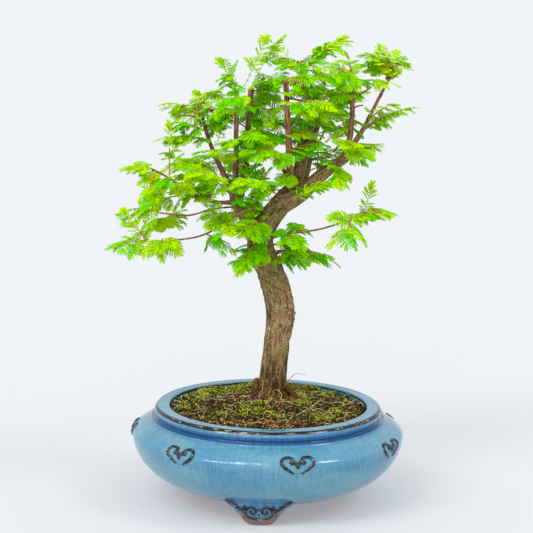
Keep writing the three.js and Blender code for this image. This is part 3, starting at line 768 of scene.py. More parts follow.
litter_tints = [
    ("litter_straw", (226, 204, 140), 1150), ("litter_rust", (190, 106, 40), 330),
    ("litter_brown", (74, 64, 34), 2000),
]
litter_share = np.array([0, 0.25, 0.7, 1])
for name, colour, count in litter_tints:
    middles = on_soil(draw, count, 0.955)
    if name == "litter_rust":
        drift = draw.normal(size=(count, 2)) * [16 * mm, 8 * mm] + [pot_axis[0] + 4 * mm, -70 * mm]
        middles[::2, :2] = drift[: len(middles[::2])]
        middles[:, 2] = soil_height(middles[:, 0], middles[:, 1])
    middles = middles + [0, 0, 0.5 * mm]
    lengths = (2.6 + 4.6 * draw.random(len(middles)) ** 2) * mm
    heading = 2 * math.pi * draw.random(len(middles))
    tilt = 0.32 * draw.normal(size=len(middles))
    way = unit(np.column_stack([np.cos(heading), np.sin(heading), tilt]))
    side = unit(np.cross(way, [0, 0, 1]) + 0.4 * draw.normal(size=way.shape))
    lift = np.cross(side, way)
    curl = 0.09 * draw.normal(size=len(middles))[:, None, None] * side[:, None]
    along = (litter_share - 0.5)[:, None] * way[:, None]
    bow = (litter_share - litter_share**2)[:, None] * 4 * curl
    path = middles[:, None] + lengths[:, None, None] * (along + bow)
    ends_out = np.hypot(*(path[:, [0, -1]] - pot_axis)[..., :2].transpose(2, 0, 1)).max(axis=1)
    within = ends_out < soil_radius - 0.4 * mm
    widths = 0.28 * mm * (0.7 + 0.8 * draw.random(within.sum()))[:, None] * np.ones(4)
    body = strips(path[within], side[within], lift[within], widths, 0.16 * mm)
    mesh_piece(name, *body, plain_finish(name, colour, 0.8), "soil")

crumb_tints = [("crumbs_dark", (30, 26, 15), 2400), ("crumbs_tan", (120, 104, 64), 700)]
turn = np.radians([0, 72, 144, 216, 288])
pentagon = np.stack([np.cos(turn), np.sin(turn), 0 * turn], axis=1)
crumb_rings = np.stack([pentagon - [0, 0, 0.5], pentagon + [0, 0, 0.5]])
for name, colour, count in crumb_tints:
    middles = on_soil(draw, count, 0.96)
    sizes = (0.45 + 0.75 * draw.random(len(middles)) ** 2)[:, None, None, None] * mm
    rough = 1 + 0.25 * draw.normal(size=(len(middles), 2, 5, 1))
    rings = middles[:, None, None] + sizes * crumb_rings * rough
    poles = sizes[:, 0, 0] * [0, 0, 0.95]
    body = closed_bodies(rings, middles - poles, middles + poles)
    mesh_piece(name, *body, plain_finish(name, colour, 0.85), "soil")


def wandering_roots(draw, starts, headings, lengths, stations):
    """Fine roots from their starts: each wanders over the soil with a slowly changing heading,
    stiff enough to bridge its hollows, and dips in and out of it."""
    count = len(starts)
    share = np.linspace(0, 1, stations)
    heading = headings[:, None] + np.cumsum(draw.normal(size=(count, stations)) * 0.13, axis=1)
    step = (lengths / (stations - 1))[:, None]
    x = starts[:, :1] + np.cumsum(np.cos(heading) * step, axis=1)
    y = starts[:, 1:2] + np.cumsum(np.sin(heading) * step, axis=1)
    shrink = np.minimum(1, (soil_radius - 1.2 * mm) / np.hypot(x - pot_axis[0], y - pot_axis[1]))
    x, y = pot_axis[0] + (x - pot_axis[0]) * shrink, y * shrink
    turns, shift = 1 + 3 * draw.random(count), 6 * draw.random(count)
    wave = np.sin(share * math.pi * turns[:, None] + shift[:, None])
    ground = soil_height(x, y)
    chord = ground[:, :1] + (ground[:, -1:] - ground[:, :1]) * share
    return np.stack([x, y, 0.35 * ground + 0.65 * chord + (0.6 + wave) * mm], axis=-1)


def round_strands(paths, radii, corners):
    """Round bodies along paths of (bodies, stations, 3) with their radii, which taper to a point
    at the two ends. The ring at each station stands square to the path."""
    way = unit(np.gradient(paths, axis=1))
    side = unit(np.cross(way, np.where(np.abs(way[:, :1, 2:]) > 0.8, [1.0, 0, 0], [0, 0, 1.0])))
    around = ring_ways(np.arange(corners) * 2 * math.pi / corners, side, np.cross(way, side))
    rings = paths[:, :, None] + radii[:, :, None, None] * around
    return closed_bodies(rings[:, 1:-1], paths[:, 0], paths[:, -1])


root_tints = [("roots_straw", (222, 200, 142), 0.28), ("roots_brown", (140, 96, 66), 0.4)]
root_count, root_stations = 120, 18
near_count = root_count // 3
for name, colour, thickness in root_tints:
    starts = on_soil(draw, root_count, 0.9)[:, :2]
    starts[:near_count] = trunk_foot + 21 * mm * unit(draw.normal(size=(near_count, 2)))
    headings = 2 * math.pi * draw.random(root_count)
    outward = np.arctan2(*(starts[:near_count] - trunk_foot).T[::-1])
    headings[:near_count] = outward + 0.5 * draw.normal(size=near_count)
    lengths = (12 + 40 * draw.random(root_count) ** 1.5) * mm
    paths = wandering_roots(draw, starts, headings, lengths, root_stations)
    taper = np.linspace(1, 0.45, root_stations) * (0.7 + 0.6 * draw.random(root_count))[:, None]
    body = round_strands(paths, thickness * mm * taper, 5)
    mesh_piece(name, *body, plain_finish(name, colour, 0.6), "soil")


# Trunk, boughs and surface roots: one woody stem, whose bark is fibrous, in long narrow strips
# with clefts between them that wind a little round it, darkened with painted shade. The wood is
# greyer and greener on the trunk and redder on the boughs. The trunk and its upright stubs were
# sawn off short.
trunk_line = np.array([
    [3.6, 22, 90, 19.5], [3.6, 22, 95, 17.6], [3.9, 20.5, 107, 13.9], [4.8, 19.4, 121, 12.9],
    [7.8, 17, 150.7, 12.7], [10.2, 14, 178, 14], [6.6, 11, 200, 13.8], [-0.6, 9.5, 220.7, 12.8],
    [-8.6, 8.6, 238, 12.9], [-9.6, 9, 253, 12.2], [-3.2, 10, 268, 11.2], [9, 12, 284, 10],
    [20.6, 15, 298, 9], [28, 18, 316, 8.2], [31.6, 20.5, 336, 8], [39, 24, 363, 7.3],
]) * mm
boughs = {
    "left_fork": ([[-11, 9, 253], [-24, 6, 272], [-33, 3, 285], [-36, 0, 299]], 7.6, 4.6),
    "left_stub_front": ([[-35, 1, 293], [-34, -5, 322], [-34, -9, 363], [-34, -12, 391]], 3, 2.1),
    "left_stub_back": ([[-32, 3, 284], [-26, 8, 309], [-24, 12, 341], [-21, 16, 393]], 3.4, 2.7),
    "left_slant": ([[-36, 2, 295], [-48, 12, 316], [-60, 20, 342], [-71, 28, 377]], 3.3, 1.3),
    "left_bough": (
        [[-36, 3, 286], [-52, -6, 287], [-74, -14, 294], [-93, -22, 309], [-112, -28, 320]], 2.1, 0.9,
    ),
    "left_long_back": ([[-34, 4, 282], [-57, 18, 277], [-80, 32, 269], [-108, 47, 269]], 1.05, 0.7),
    "left_long_front": (
        [
            [-2, 3, 276], [-17, -11, 282], [-35, -18, 275], [-62, -26, 259], [-91, -34, 254],
            [-119, -42, 253],
        ],
        1.05, 0.7,
    ),
    "right_bough": ([[11, 12, 287], [27, 10, 295], [47, 6, 313], [73, 2, 334]], 8.2, 4.4),
    "right_stub": ([[68, 3, 330], [73, 1, 352], [74, -3, 379], [74, -8, 405]], 3, 2.3),
    "right_slant": ([[68, 3, 331], [83, 9, 353], [95, 15, 376], [112, 24, 409]], 3, 1.2),
    "front_stub": ([[19, 12, 297], [17, -2, 312], [15, -10, 347], [11, -18, 403]], 4, 2.3),
    "leader_shoot": ([[38, 23, 358], [32, 27, 384], [28, 33, 416]], 3.1, 2.4),
    "right_low": ([[-8, 9, 249], [13, -6, 257], [48, -16, 265], [74, -24, 275]], 1.1, 0.7),
    "back_low": ([[-9, 9, 257], [-18, 40, 261], [-31, 72, 264]], 2.5, 1.2),
    "back_mid": ([[20, 15, 301], [10, 45, 315], [0, 75, 329]], 2.6, 1.2),
    "back_top": ([[32, 22, 339], [44, 48, 358], [52, 74, 375]], 2.5, 1.2),
}
sawn_stubs = ["left_stub_front", "left_stub_back", "right_stub", "front_stub", "leader_shoot"]
surface_roots = [
    [80, 24, 3.4], [-58, 21, 3.6], [14, 20, 3], [150, 25, 4], [-128, 24, 3.6], [40, 26, 2.4],
    [-22, 19, 2.4],
]
foot_stems = [
    [
        [-12.6, -3, -5, 5.6], [-14, -3, 2, 4.6], [-14.8, -3, 8, 4], [-14.4, -3, 13.4, 3.3],
        [-12.4, -2.4, 16.4, 1.8],
    ],
    [[10, -6, 13, 3.4], [17, -9, 7, 2.5], [25, -12, 0.4, 1.8], [31, -14, -4.5, 1.2]],
    [[8, -13.5, 8, 1.1], [12, -13.5, 11.5, 1], [17, -12, 15, 0.9]],
]
bare_twigs = [
    ([(12, -17, 402), (19, -26, 402), (29, -34, 401)], 1.3, 0.8),
    ([(14, -15, 386), (27, -30, 385), (43, -44, 383)], 1.1, 0.7),
    ([(15, -14, 372), (30, -18, 378), (50, -22, 387)], 0.9, 0.5),
    ([(17, -11, 359), (23, -13, 364), (30, -16, 369)], 0.9, 0.6),
    ([(38, 26, 367), (53, 26, 373), (68, 24, 379)], 1.1, 0.6),
    ([(43, 20, 341), (47, 17, 349), (50, 14, 360)], 1.0, 0.6),
    ([(72, 3, 336), (83, -2, 354), (96, -6, 367)], 1.3, 0.7),
    ([(5, 12, 236), (10, 4, 239), (28, 0, 238), (51, -8, 238)], 1.5, 0.6),
    ([(-17, 2, 244), (-22, -4, 237), (-29, -10, 231)], 0.9, 0.5),
    ([(-21, 4, 310), (-20, 1, 317), (-19, -1, 321)], 0.7, 0.4),
    ([(-25, 13, 356), (-29, 6, 359), (-33, -8, 363)], 0.8, 0.6),
    ([(75, 0, 385), (82, 4, 390), (92, 8, 396)], 1.0, 0.6),
    ([(74, 0, 376), (79, -3, 379), (84, -6, 380)], 0.9, 0.5),
    ([(58, 4, 335), (61, 3, 340), (65, 1, 346)], 1.1, 0.6),
    ([(37, 16, 326), (43, 10, 327), (50, 4, 324)], 0.7, 0.45),
    ([(107, 18, 403), (112, 16, 405), (116, 14, 408)], 0.9, 0.6),
    ([(106, 20, 403), (110, 21, 410), (113, 22, 418)], 0.9, 0.6),
    ([(28, 32, 404), (27, 32, 411), (27, 33, 419)], 2.0, 1.7),
    ([(1, 12, 186), (19, 3, 177), (23, 1, 178), (25, 1, 182)], 1.2, 0.5),
    ([(-50, 17, 326), (-53, 10, 323), (-57, 4, 323)], 0.7, 0.4),
    ([(-68, 19, 356), (-70, 16, 366), (-71, 14, 377)], 1.2, 0.8),
    ([(-69, 20, 362), (-76, 14, 366), (-89, 8, 367)], 1.0, 0.6),
    ([(-76, -14, 306), (-79, -16, 312), (-78, -18, 317)], 1.0, 0.5),
    ([(-84, -14, 296), (-88, -10, 302), (-92, -8, 308)], 0.9, 0.5),
    ([(-110, 44, 269), (-114, 40, 274), (-115, 36, 278)], 0.8, 0.5),
    ([(19, 12, 112), (26, 11, 119), (35, 10, 119)], 0.35, 0.2),
]
cut_height = 95 * mm
strip_width = 1.5 * mm
strip_length = 9 * mm
sway_length = 9 * mm
winding_length = 34 * mm
twisted_part = (105 * mm, 150 * mm)
grain_turn = 16
saw_dent = 0.12
bend_folds = [(193, 1.2), (199, 1.6), (205, 1.5), (213, 1.3), (222, 1.1)]
grain_squeeze = 0.14


def rough_stem(centre, radius, corners, depth, seed, youth, sawn, twist=0, folds=()):
    """A round body along a centre line, with bark on it. The bark is noise drawn out along the
    stem, in two sizes over a coarser swell, and its low places are deepened to clefts. Folds are
    ridges where a slanting level cuts the stem. It gives the body, and per vertex the grain's
    place, the clefts, the sawn wood and the youth."""
    way = unit(np.gradient(centre, axis=0))
    least = np.linalg.svd(way)[2][-1]
    side = unit(np.cross(way, least))
    lift = np.cross(way, side)
    steps = distances(centre)[:, None]
    turn = np.arange(corners) * 2 * math.pi / corners
    strips_round = max(6, 3 * round(2 * math.pi * radius.mean() / strip_width / 3))
    across = turn / (2 * math.pi) * strips_round
    sway = 0.5 * soft_noise(steps / sway_length, 0 * steps + 3.5, seed + 5)
    winding = across + 1.2 * np.sin(steps / winding_length) + sway
    winding = winding + twist * smooth_share(steps, *twisted_part)
    along = steps / strip_length + 9.3
    fine = 0.62 * soft_noise(winding, along, seed, strips_round)
    fine = fine + 0.38 * soft_noise(winding * 2, along * 2.2, seed + 2, strips_round * 2)
    broad = soft_noise(winding / 3, along / 2.6, seed + 1, strips_round // 3)
    clefts = smooth_share(-fine - 0.35 * broad, 0.1, 0.55)
    relief = 0.9 * fine + 0.7 * broad - 0.7 * clefts
    around = ring_ways(turn, side, lift)
    rings = centre[:, None] + radius[:, None, None] * around
    slant = rings[..., 2] + 0.6 * rings[..., 0] + 0.8 * mm * fine
    for level, fold in folds:
        relief = relief + fold * (0.7 + 0.5 * broad) * hump(slant, level * mm, 1.3 * mm)
        # Just above each fold a band is marked as a cleft, which the bark's colour darkens as painted
        # shade.
        clefts = np.maximum(clefts, abs(fold) * 0.5 * hump(slant, (level + 2.3) * mm, 1.0 * mm))
    rings = rings + (depth * relief)[..., None] * around
    grain_rise = np.broadcast_to(steps * grain_squeeze, clefts.shape)
    grain_x, grain_y = radius[:, None] * np.cos(turn), radius[:, None] * np.sin(turn)
    grain = np.stack([grain_x, grain_y, grain_rise], axis=-1)
    wood = np.zeros(clefts.shape)
    if sawn:
        shares = np.array([0.93, 0.75, 0.5, 0.25])[:, None, None]
        level = (len(shares), corners)
        dents = soft_noise(across, shares[..., 0] * 5, seed + 3, strips_round)[..., None]
        cap = centre[-1] + (rings[-1] - centre[-1]) * shares + way[-1] * radius[-1] * saw_dent * dents
        rings = np.concatenate([rings, cap])
        grain = np.concatenate([grain, grain[-1] * shares + [0, 0, 0.004]])
        wood = np.concatenate([wood, np.ones(level)])
        clefts = np.concatenate([clefts, np.zeros(level)])
    grain = grain.reshape(-1, 3)
    return (
        closed_bodies(rings[None], centre[:1], rings[-1].mean(axis=0)[None]),
        np.vstack([grain, grain[:1], grain[-1:]]),
        on_bodies(clefts[None]),
        on_bodies(wood[None], 0, float(sawn)),
        np.full(rings[..., 0].size + 2, youth),
    )


def bough_course(name, stations):
    """The centre line of a bough and its radius, which tapers with the share to the power 0.8
    and swells towards the limb that carries it."""
    corners, first, last = boughs[name]
    centre = pot_axis + evenly_along(np.array(corners) * mm, stations)
    share = np.linspace(0, 1, stations)
    radius = (first + (last - first) * share**0.8) * mm
    steps = share * np.linalg.norm(np.diff(centre, axis=0), axis=1).sum()
    return centre, radius * (1 + 0.42 * np.exp(-((steps / (2.6 * first * mm)) ** 2)))


trunk_stations = 330
trunk_course = evenly_along(trunk_line, trunk_stations)
trunk_centre = pot_axis + trunk_course[:, :3]
trunk_radius = trunk_course[:, 3]
trunk_core = trunk_radius - 0.2 * mm
trunk_stems = [
    rough_stem(trunk_centre, trunk_core, 160, 0.55 * mm, 51, 0.0, True, grain_turn, bend_folds),
]
bough_stems = []
for k, name in enumerate(boughs):
    thick = boughs[name][1] > 5
    stations, corners, depth, youth = (110, 80, 0.5, 0.25) if thick else (84, 30, 0.26, 1.0)
    centre, radius = bough_course(name, stations)
    sawn = name in sawn_stubs
    bough_stems.append(rough_stem(centre, radius, corners, depth * mm, 60 + 7 * k, youth, sawn))
foot_stations, twig_stations = 60, 26
root_shares = np.array([0.12, 0.3, 0.64, 1, 1.2])[:, None]
root_rises = np.array([17, 11, 4, 0.3, -4]) * mm
root_sway = np.array([0, 0, 0.1, -0.05, 0.1])[:, None]
for k, (azimuth, reach, thickness) in enumerate(surface_roots):
    direction = np.array([math.sin(math.radians(azimuth)), -math.cos(math.radians(azimuth))])
    aside = np.array([-direction[1], direction[0]]) * (1 if k % 2 else -1)
    flat = trunk_foot + reach * mm * (root_shares * direction + root_sway * aside)
    centre = evenly_along(np.column_stack([flat, cut_height + root_rises]), foot_stations)
    radius = thickness * mm * np.linspace(1.4, 0.3, foot_stations)
    trunk_stems.append(rough_stem(centre, radius, 40, 0.9 * mm, 200 + 7 * k, 0.1, False))
for k, (rows, depth) in enumerate(zip(foot_stems, (1.5, 0.4, 0.2))):
    course = evenly_along(np.array(rows) * mm, foot_stations)
    centre = course[:, :3] + [*trunk_foot, cut_height]
    youth = 0.1 + 0.2 * k
    trunk_stems.append(rough_stem(centre, course[:, 3], 44, depth * mm, 300 + 7 * k, youth, False))
for k, (places, first, last) in enumerate(bare_twigs):
    centre = pot_axis + evenly_along(np.array(places) * mm, twig_stations)
    radius = np.linspace(first, last, twig_stations) * mm
    bough_stems.append(rough_stem(centre, radius, 12, 0.12 * mm, 400 + 7 * k, 1.0, True))

bark, tree, shader = new_material("fibrous bark", Roughness=0.85, Specular_IOR_Level=0.1)
grain_place = carried(tree, "grain", "Vector")
place = object_place(tree)
place_height = add_node(tree, "ShaderNodeSeparateXYZ", {"Vector": place}).outputs["Z"]
fibres = mottled(tree, grain_place, 900.0, 5.0, 0.4, 0.62)
plates = mottled(tree, grain_place, 330.0, 5.0, 0.42, 0.58)["Mask"]
specks = mottled(tree, place, 480.0, 3.0, 0.53, 0.64)["Mask"]
algae = mottled(tree, place, 40.0, 6.0, 0.44, 0.6)["Mask"]
blush = mottled(tree, place, 70.0, 6.0, 0.52, 0.66)["Mask"]
lichen = mottled(tree, place, 150.0, 6.0, 0.63, 0.69)["Mask"]
bark_colour = painted(
    tree, (146, 116, 78),
    (plates, (104, 78, 48)),
    (fibres["Mask"], (192, 166, 122)),
    (computed(tree, "MULTIPLY", algae, 0.6), (128, 120, 60)),
    (computed(tree, "MULTIPLY", blush, 0.55), (160, 108, 84)),
    (computed(tree, "MULTIPLY", specks, 0.82), (70, 50, 28)),
    (carried(tree, "youth"), painted(tree, (126, 80, 54), (fibres["Mask"], (176, 128, 98)))),
    (lichen, (208, 198, 176)),
    # Painted shade: the clefts, the low places of the bark's relief, are darkened.
    (computed(tree, "MULTIPLY", carried(tree, "clefts"), 0.7), (66, 46, 28)),
    (carried(tree, "wood"), painted(tree, (158, 118, 84), (fibres["Mask"], (104, 78, 52)))),
    (stretched(tree, place_height, 150 * mm, 103 * mm), (156, 136, 114), "MULTIPLY"),
)
drive(tree, shader, Base_Color=bark_colour, Normal=bumped(tree, (fibres["Height"], 0.8, 0.5)))

wood_pieces = [("barked_trunk", trunk_stems, ["trunk"]), ("barked_boughs", bough_stems, boughs)]
for name, stems, nodes in wood_pieces:
    bodies, grains, *values = zip(*stems)
    clefts, wood, youth = [np.concatenate(parts) for parts in values]
    wood_piece = mesh_piece(
        name, *joined(bodies), bark, "bark",
        clefts=clefts, wood=wood, youth=youth, grain=np.vstack(grains),
    )
    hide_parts(*nodes)

# Fine roots on the trunk's foot: pale threads that hang down its flare and run on over the soil.
draw = np.random.default_rng(33)
thread_count, thread_stations = 16, 14
heading = math.pi * (1.5 + 1.5 * (draw.random(thread_count) - 0.5))
start_height = (101 + 17 * draw.random(thread_count) ** 1.4) * mm
thread_share = np.linspace(0, 1, thread_stations)
height = start_height[:, None] + (94 * mm - start_height)[:, None] * np.minimum(thread_share * 1.5, 1)
flare = np.interp(height, trunk_line[:6, 2], trunk_line[:6, 3]) + 0.7 * mm
flare = flare + 9 * mm * draw.random((thread_count, 1)) * np.clip(thread_share * 3 - 2, 0, 1)
wander = np.cumsum(draw.normal(size=(thread_count, thread_stations)), axis=1)
heading = heading[:, None] + 0.09 * wander
x, y = trunk_foot[0] + flare * np.cos(heading), trunk_foot[1] + flare * np.sin(heading)
soil_here = soil_height(x, y) + 0.5 * mm
thread_height = np.where(thread_share > 0.66, soil_here, np.maximum(height, soil_here))
threads = np.stack([x, y, thread_height], axis=-1)
radii = 0.3 * mm * (0.6 + 0.6 * draw.random((thread_count, 1))) * np.linspace(1, 0.6, thread_stations)
thread_finish = plain_finish("pale root thread", (212, 192, 126), 0.65)
mesh_piece("foot_threads", *round_strands(threads, radii, 5), thread_finish, "soil")


# Foliage: soft flat needles in two ranks along green branchlets, which leave thin red-brown
# twigs in pairs. It grows by the same rule as the solids do, with each blade there carried on
# as a spray of separate needles.
masses = [
    ("left_front_tip", "left_long_front", 1, (-135, -48, 254), 21),
    ("left_front_fan", "left_long_front", 0.85, (-100, -62, 256), 24),
    ("left_front_sprig", "left_long_front", 0.96, (-133, -30, 272), 17),
    ("left_back_tip", "left_long_back", 1, (-132, 62, 271), 24),
    ("left_back_fan", "left_long_back", 0.8, (-104, 84, 257), 25),
    ("left_bough_tip", "left_bough", 1, (-125, -34, 323), 20),
    ("left_bough_low", "left_bough", 0.93, (-113, -50, 300), 21),
    ("left_bough_fan", "left_bough", 0.7, (-99, -58, 313), 25),
    ("left_bough_sprig", "left_bough", 0.78, (-97, 6, 338), 20),
    ("front_left_fan", "left_fork", 0.75, (-65, -80, 322), 28),
    ("left_slant_side", "left_slant", 0.85, (-93, 46, 375), 25),
    ("left_slant_tip", "left_slant", 1, (-63, 56, 386), 24),
    ("left_slant_arch", "left_slant", 0.4, (-52, -22, 338), 27),
    ("left_stub_front_tip", "left_stub_front", 1, (-41, -22, 411), 24),
    ("left_stub_front_low", "left_stub_front", 0.5, (-23, -44, 354), 30),
    ("left_stub_front_fan", "left_stub_front", 0.9, (-36, -44, 387), 26),
    ("left_stub_back_tip", "left_stub_back", 1, (0, 38, 432), 24),
    ("left_stub_back_fan", "left_stub_back", 0.8, (-5, 54, 382), 28),
    ("front_mid_fan", "trunk", 0.7, (-23, -76, 316), 25),
    ("front_stub_low", "front_stub", 0.35, (-17, -46, 341), 21),
    ("left_low_fan", "left_long_front", 0.42, (-40, -58, 272), 25),
    ("trunk_front", "trunk", 0.6, (-22, -38, 268), 25),
    ("right_low_near", "right_low", 0.3, (19, -36, 258), 22),
    ("trunk_right", "trunk", 0.53, (48, 26, 234), 25),
    ("trunk_left", "trunk", 0.55, (-23, -26, 238), 25),
    ("right_bough_under", "right_bough", 0.8, (63, -30, 313), 14),
    ("right_bough_fan", "right_bough", 0.95, (75, -37, 347), 25),
    ("right_spur", "right_slant", 0.42, (107, -16, 381), 19),
    ("right_slant_tip", "right_slant", 1, (98, 52, 424), 22),
    ("leader_top", "leader_shoot", 1, (62, 64, 436), 22),
    ("right_stub_tip", "right_stub", 1, (55, -26, 415), 28),
    ("front_stub_tip", "front_stub", 1, (33, -14, 407), 26),
    ("front_stub_fan", "front_stub", 0.78, (40, -46, 385), 28),
    ("leader_side", "trunk", 0.98, (61, 62, 373), 27),
    ("right_low_fan", "right_low", 1, (70, -54, 268), 26),
    ("right_low_tip", "right_low", 1, (102, 8, 281), 18),
    ("back_low_tip", "back_low", 1, (-43, 98, 264), 32),
    ("back_mid_tip", "back_mid", 1, (-10, 100, 345), 32),
    ("back_top_tip", "back_top", 1, (76, 94, 386), 30),
    ("back_left_fan", "left_fork", 0.85, (-77, 84, 318), 30),
    ("back_right_fan", "right_bough", 0.6, (89, 84, 336), 30),
]
sprigs = [
    ("left_slant", 0.76, (-58, 22, 358), 22), ("left_stub_front", 0.76, (-42, 6, 369), 22),
    ("left_stub_back", 0.83, (-1, 6, 373), 24), ("left_stub_back", 0.71, (5, 16, 360), 24),
    ("left_stub_back", 0.63, (-4, 2, 351), 22), ("front_stub", 0.9, (28, -16, 396), 20),
    ("leader_shoot", 0.58, (42, 20, 394), 26), ("right_stub", 0.8, (61, 4, 391), 24),
    ("trunk", 0.99, (26, 22, 363), 24), ("front_stub", 0.54, (31, -4, 354), 22),
    ("trunk", 1.0, (46, 8, 365), 22), ("right_stub", 0.36, (63, 6, 358), 24),
    ("right_slant", 0.37, (77, 12, 363), 20), ("front_stub", 0.41, (37, -4, 343), 20),
    ("right_bough", 0.8, (53, 10, 333), 20), ("left_fork", 0.5, (-18, -8, 295), 12),
    ("left_bough", 0.27, (-58, -12, 301), 17), ("left_bough", 0.49, (-77, -10, 293), 13),
    ("left_bough", 0.46, (-104, -18, 290), 20), ("left_long_front", 0.41, (-53, -22, 280), 24),
    ("left_long_front", 0.55, (-47, -26, 253), 20), ("right_slant", 1.0, (108, 32, 424), 22),
    ("right_slant", 1.0, (118, 34, 419), 19), ("right_slant", 1.0, (97, 14, 420), 12),
    ("right_low", 0.47, (29, -8, 262), 15), ("trunk", 0.45, (16, 0, 234), 18),
    ("leader_shoot", 1.0, (15, 14, 418), 22), ("left_stub_back", 0.98, (-11, 24, 389), 24),
    ("left_slant", 0.7, (-86, 10, 360), 19), ("left_slant", 0.9, (-49, 10, 373), 20),
    ("left_stub_back", 1.0, (3, 6, 403), 20), ("leader_shoot", 0.9, (56, 20, 405), 22),
    ("right_stub", 1.0, (69, -14, 422), 14), ("right_stub", 0.95, (102, 0, 403), 20),
    ("front_stub", 0.7, (48, -16, 377), 20), ("right_bough", 0.7, (66, -8, 318), 13),
    ("left_fork", 0.3, (-7, -14, 311), 21), ("trunk", 0.62, (-18, -8, 287), 10),
    ("left_stub_front", 0.5, (-30, -14, 349), 20), ("right_slant", 0.3, (123, -10, 378), 15),
    ("left_slant", 0.6, (-97, 4, 347), 18), ("left_bough", 0.49, (-78, -30, 318), 18),
    ("trunk", 0.47, (31, -6, 236), 20), ("right_bough", 0.2, (40, -22, 305), 10),
    ("left_fork", 0.7, (-19, -16, 320), 16), ("left_bough", 0.35, (-64, -14, 301), 15),
    ("trunk", 0.5, (49, -2, 239), 12), ("right_low", 1.0, (111, 6, 279), 10),
    ("front_stub", 0.38, (31, -4, 339), 13), ("front_stub", 0.2, (12, -14, 312), 12),
    ("left_stub_back", 0.5, (-10, 46, 342), 20), ("leader_shoot", 0.4, (45, 56, 394), 22),
    ("trunk", 0.9, (25, 56, 351), 20), ("left_fork", 0.9, (-39, 44, 324), 20),
    ("right_stub", 0.6, (66, 44, 399), 20), ("trunk", 0.6, (-30, 44, 256), 20),
    ("right_bough", 0.5, (44, 44, 337), 18), ("trunk", 0.5, (-26, -34, 236), 19),
]
young_stems = ["left_stub_back_tip", "leader_top", "left_stub_front_tip", "right_slant_tip"]
green_shoots = [
    ((-28, 15, 393), (-9, 2, 437), 0.0, 11), ((24, -12, 408), (-7, 0, 439), 0.45, 9),
    ((29, -6, 416), (61, 2, 440), 0.12, 10), ((-33, -12, 389), (-48, -18, 417), 0.1, 10),
    ((107, 20, 406), (100, 24, 430), 0.05, 9), ((88, 8, 276), (93, 6, 300), 0.0, 11),
    ((-89, -20, 316), (-95, -24, 357), 0.0, 11), ((-53, 8, 339), (-44, 2, 367), 0.0, 7),
    ((-115, -22, 294), (-116, -24, 309), 0.0, 7), ((-121, -48, 257), (-134, -44, 280), 0.1, 9),
    ((20, -8, 291), (46, -14, 306), 0.25, 11), ((-1, 4, 283), (-8, -4, 316), 0.0, 7),
    ((-58, 12, 374), (-70, 8, 387), 0.1, 8),
]
leafy_length = 42 * mm
pair_spacing = 16 * mm
stem_arch = 0.1
spray_droop = 0.14
axis_part = 0.66
side_spray_share = 0.32
side_twig_share = 0.07
back_spray_share = 0.3
lean = 0.32
buried_stations = 15
upwards = np.array([0.0, 0, 1])


def seeded_numbers(seed):
    """Numbers from 0 to 1, each the last one times 16807, left over from 2147483647."""
    state = seed
    while True:
        state = state * 16807 % 2147483647
        yield state / 2147483647


def outwards(place):
    """The level direction from the middle of the crown, stronger to the front and back."""
    return unit(np.array([0.6 * (place[0] - pot_axis[0]), place[1] - 10 * mm, 0.0]))


def turned_about(vector, axle, angle):
    """A direction turned about another by an angle, with its part across the axle kept."""
    kept = axle * (axle @ vector) * (1 - math.cos(angle))
    return vector * math.cos(angle) + np.cross(axle, vector) * math.sin(angle) + kept


def grow_mass(foot, end, spray_length, seed):
    """The stem of a mass as a bowed path, its side twigs as (root, tip), and its sprays as
    (root, direction, face, length), grown in pairs from the outer part of the stem."""
    numbers = seeded_numbers(seed)
    stem_length = np.linalg.norm(end - foot)
    middle = (foot + end) / 2 + upwards * stem_arch * stem_length

    def on_stem(at):
        return foot * (1 - at) ** 2 + middle * 2 * at * (1 - at) + end * at**2

    t = np.linspace(0, 1, 201)
    stem = on_stem(t[:, None])
    steps = distances(stem)
    steps /= steps[-1]
    bare = max(0, 1 - leafy_length / stem_length)
    pairs = max(2, int((1 - bare) * stem_length / pair_spacing + 0.5))
    twigs, sprays = [], []
    for k in range(pairs):
        share = bare + (1 - bare) * (k + 0.7) / (pairs + 0.2)
        at = np.interp(share, steps, t)
        root = on_stem(at)
        tangent = unit((middle - foot) * (1 - at) + (end - middle) * at)
        upright = abs(tangent[2]) > 0.75
        out = outwards(root)
        lift = unit(upwards + lean * out)
        across = unit(np.cross(tangent, out if upright else lift))
        turn = (90 * k if upright else 0) + 50 * (next(numbers) - 0.5)
        across = turned_about(across, tangent, math.radians(turn))
        for hand in (1, -1):
            angle = math.radians(66 - 24 * share + 16 * (next(numbers) - 0.5))
            length = spray_length * (0.8 + 0.4 * next(numbers)) * (1 - 0.15 * share)
            fall = 0.14 * (0.4 + 1.2 * next(numbers))
            roll = math.radians(60 * (next(numbers) - 0.5))
            bears = next(numbers)
            direction = tangent * math.cos(angle) + across * hand * math.sin(angle)
            direction = unit(direction - upwards * fall)
            face = turned_about(lift, direction, roll)
            if bears < side_twig_share:
                tip = root + direction * 0.6 * length
                twigs.append((root, tip))
                sideways = unit(np.cross(direction, face))
                for start, spread in ((0.5, 1), (0.6, -0.9), (1, 0)):
                    way = unit(direction + sideways * spread)
                    sprays.append((root + (tip - root) * start, way, face, 0.72 * length))
            else:
                sprays.append((root, direction, face, length))
    lift = unit(upwards + lean * outwards(end))
    sprays.append((end, unit(end - middle), lift, 0.9 * spray_length))
    for root, direction, face, length in sprays[: 2 * pairs]:
        back = root - unit(end - foot) * pair_spacing * (0.4 + 0.2 * next(numbers))
        swing = turned_about(direction, face, math.radians(40 * (next(numbers) - 0.5)))
        size = length * (0.7 + 0.2 * next(numbers))
        if next(numbers) < back_spray_share:
            sprays.append((back, swing, face, size))
    return stem[::25], twigs, sprays


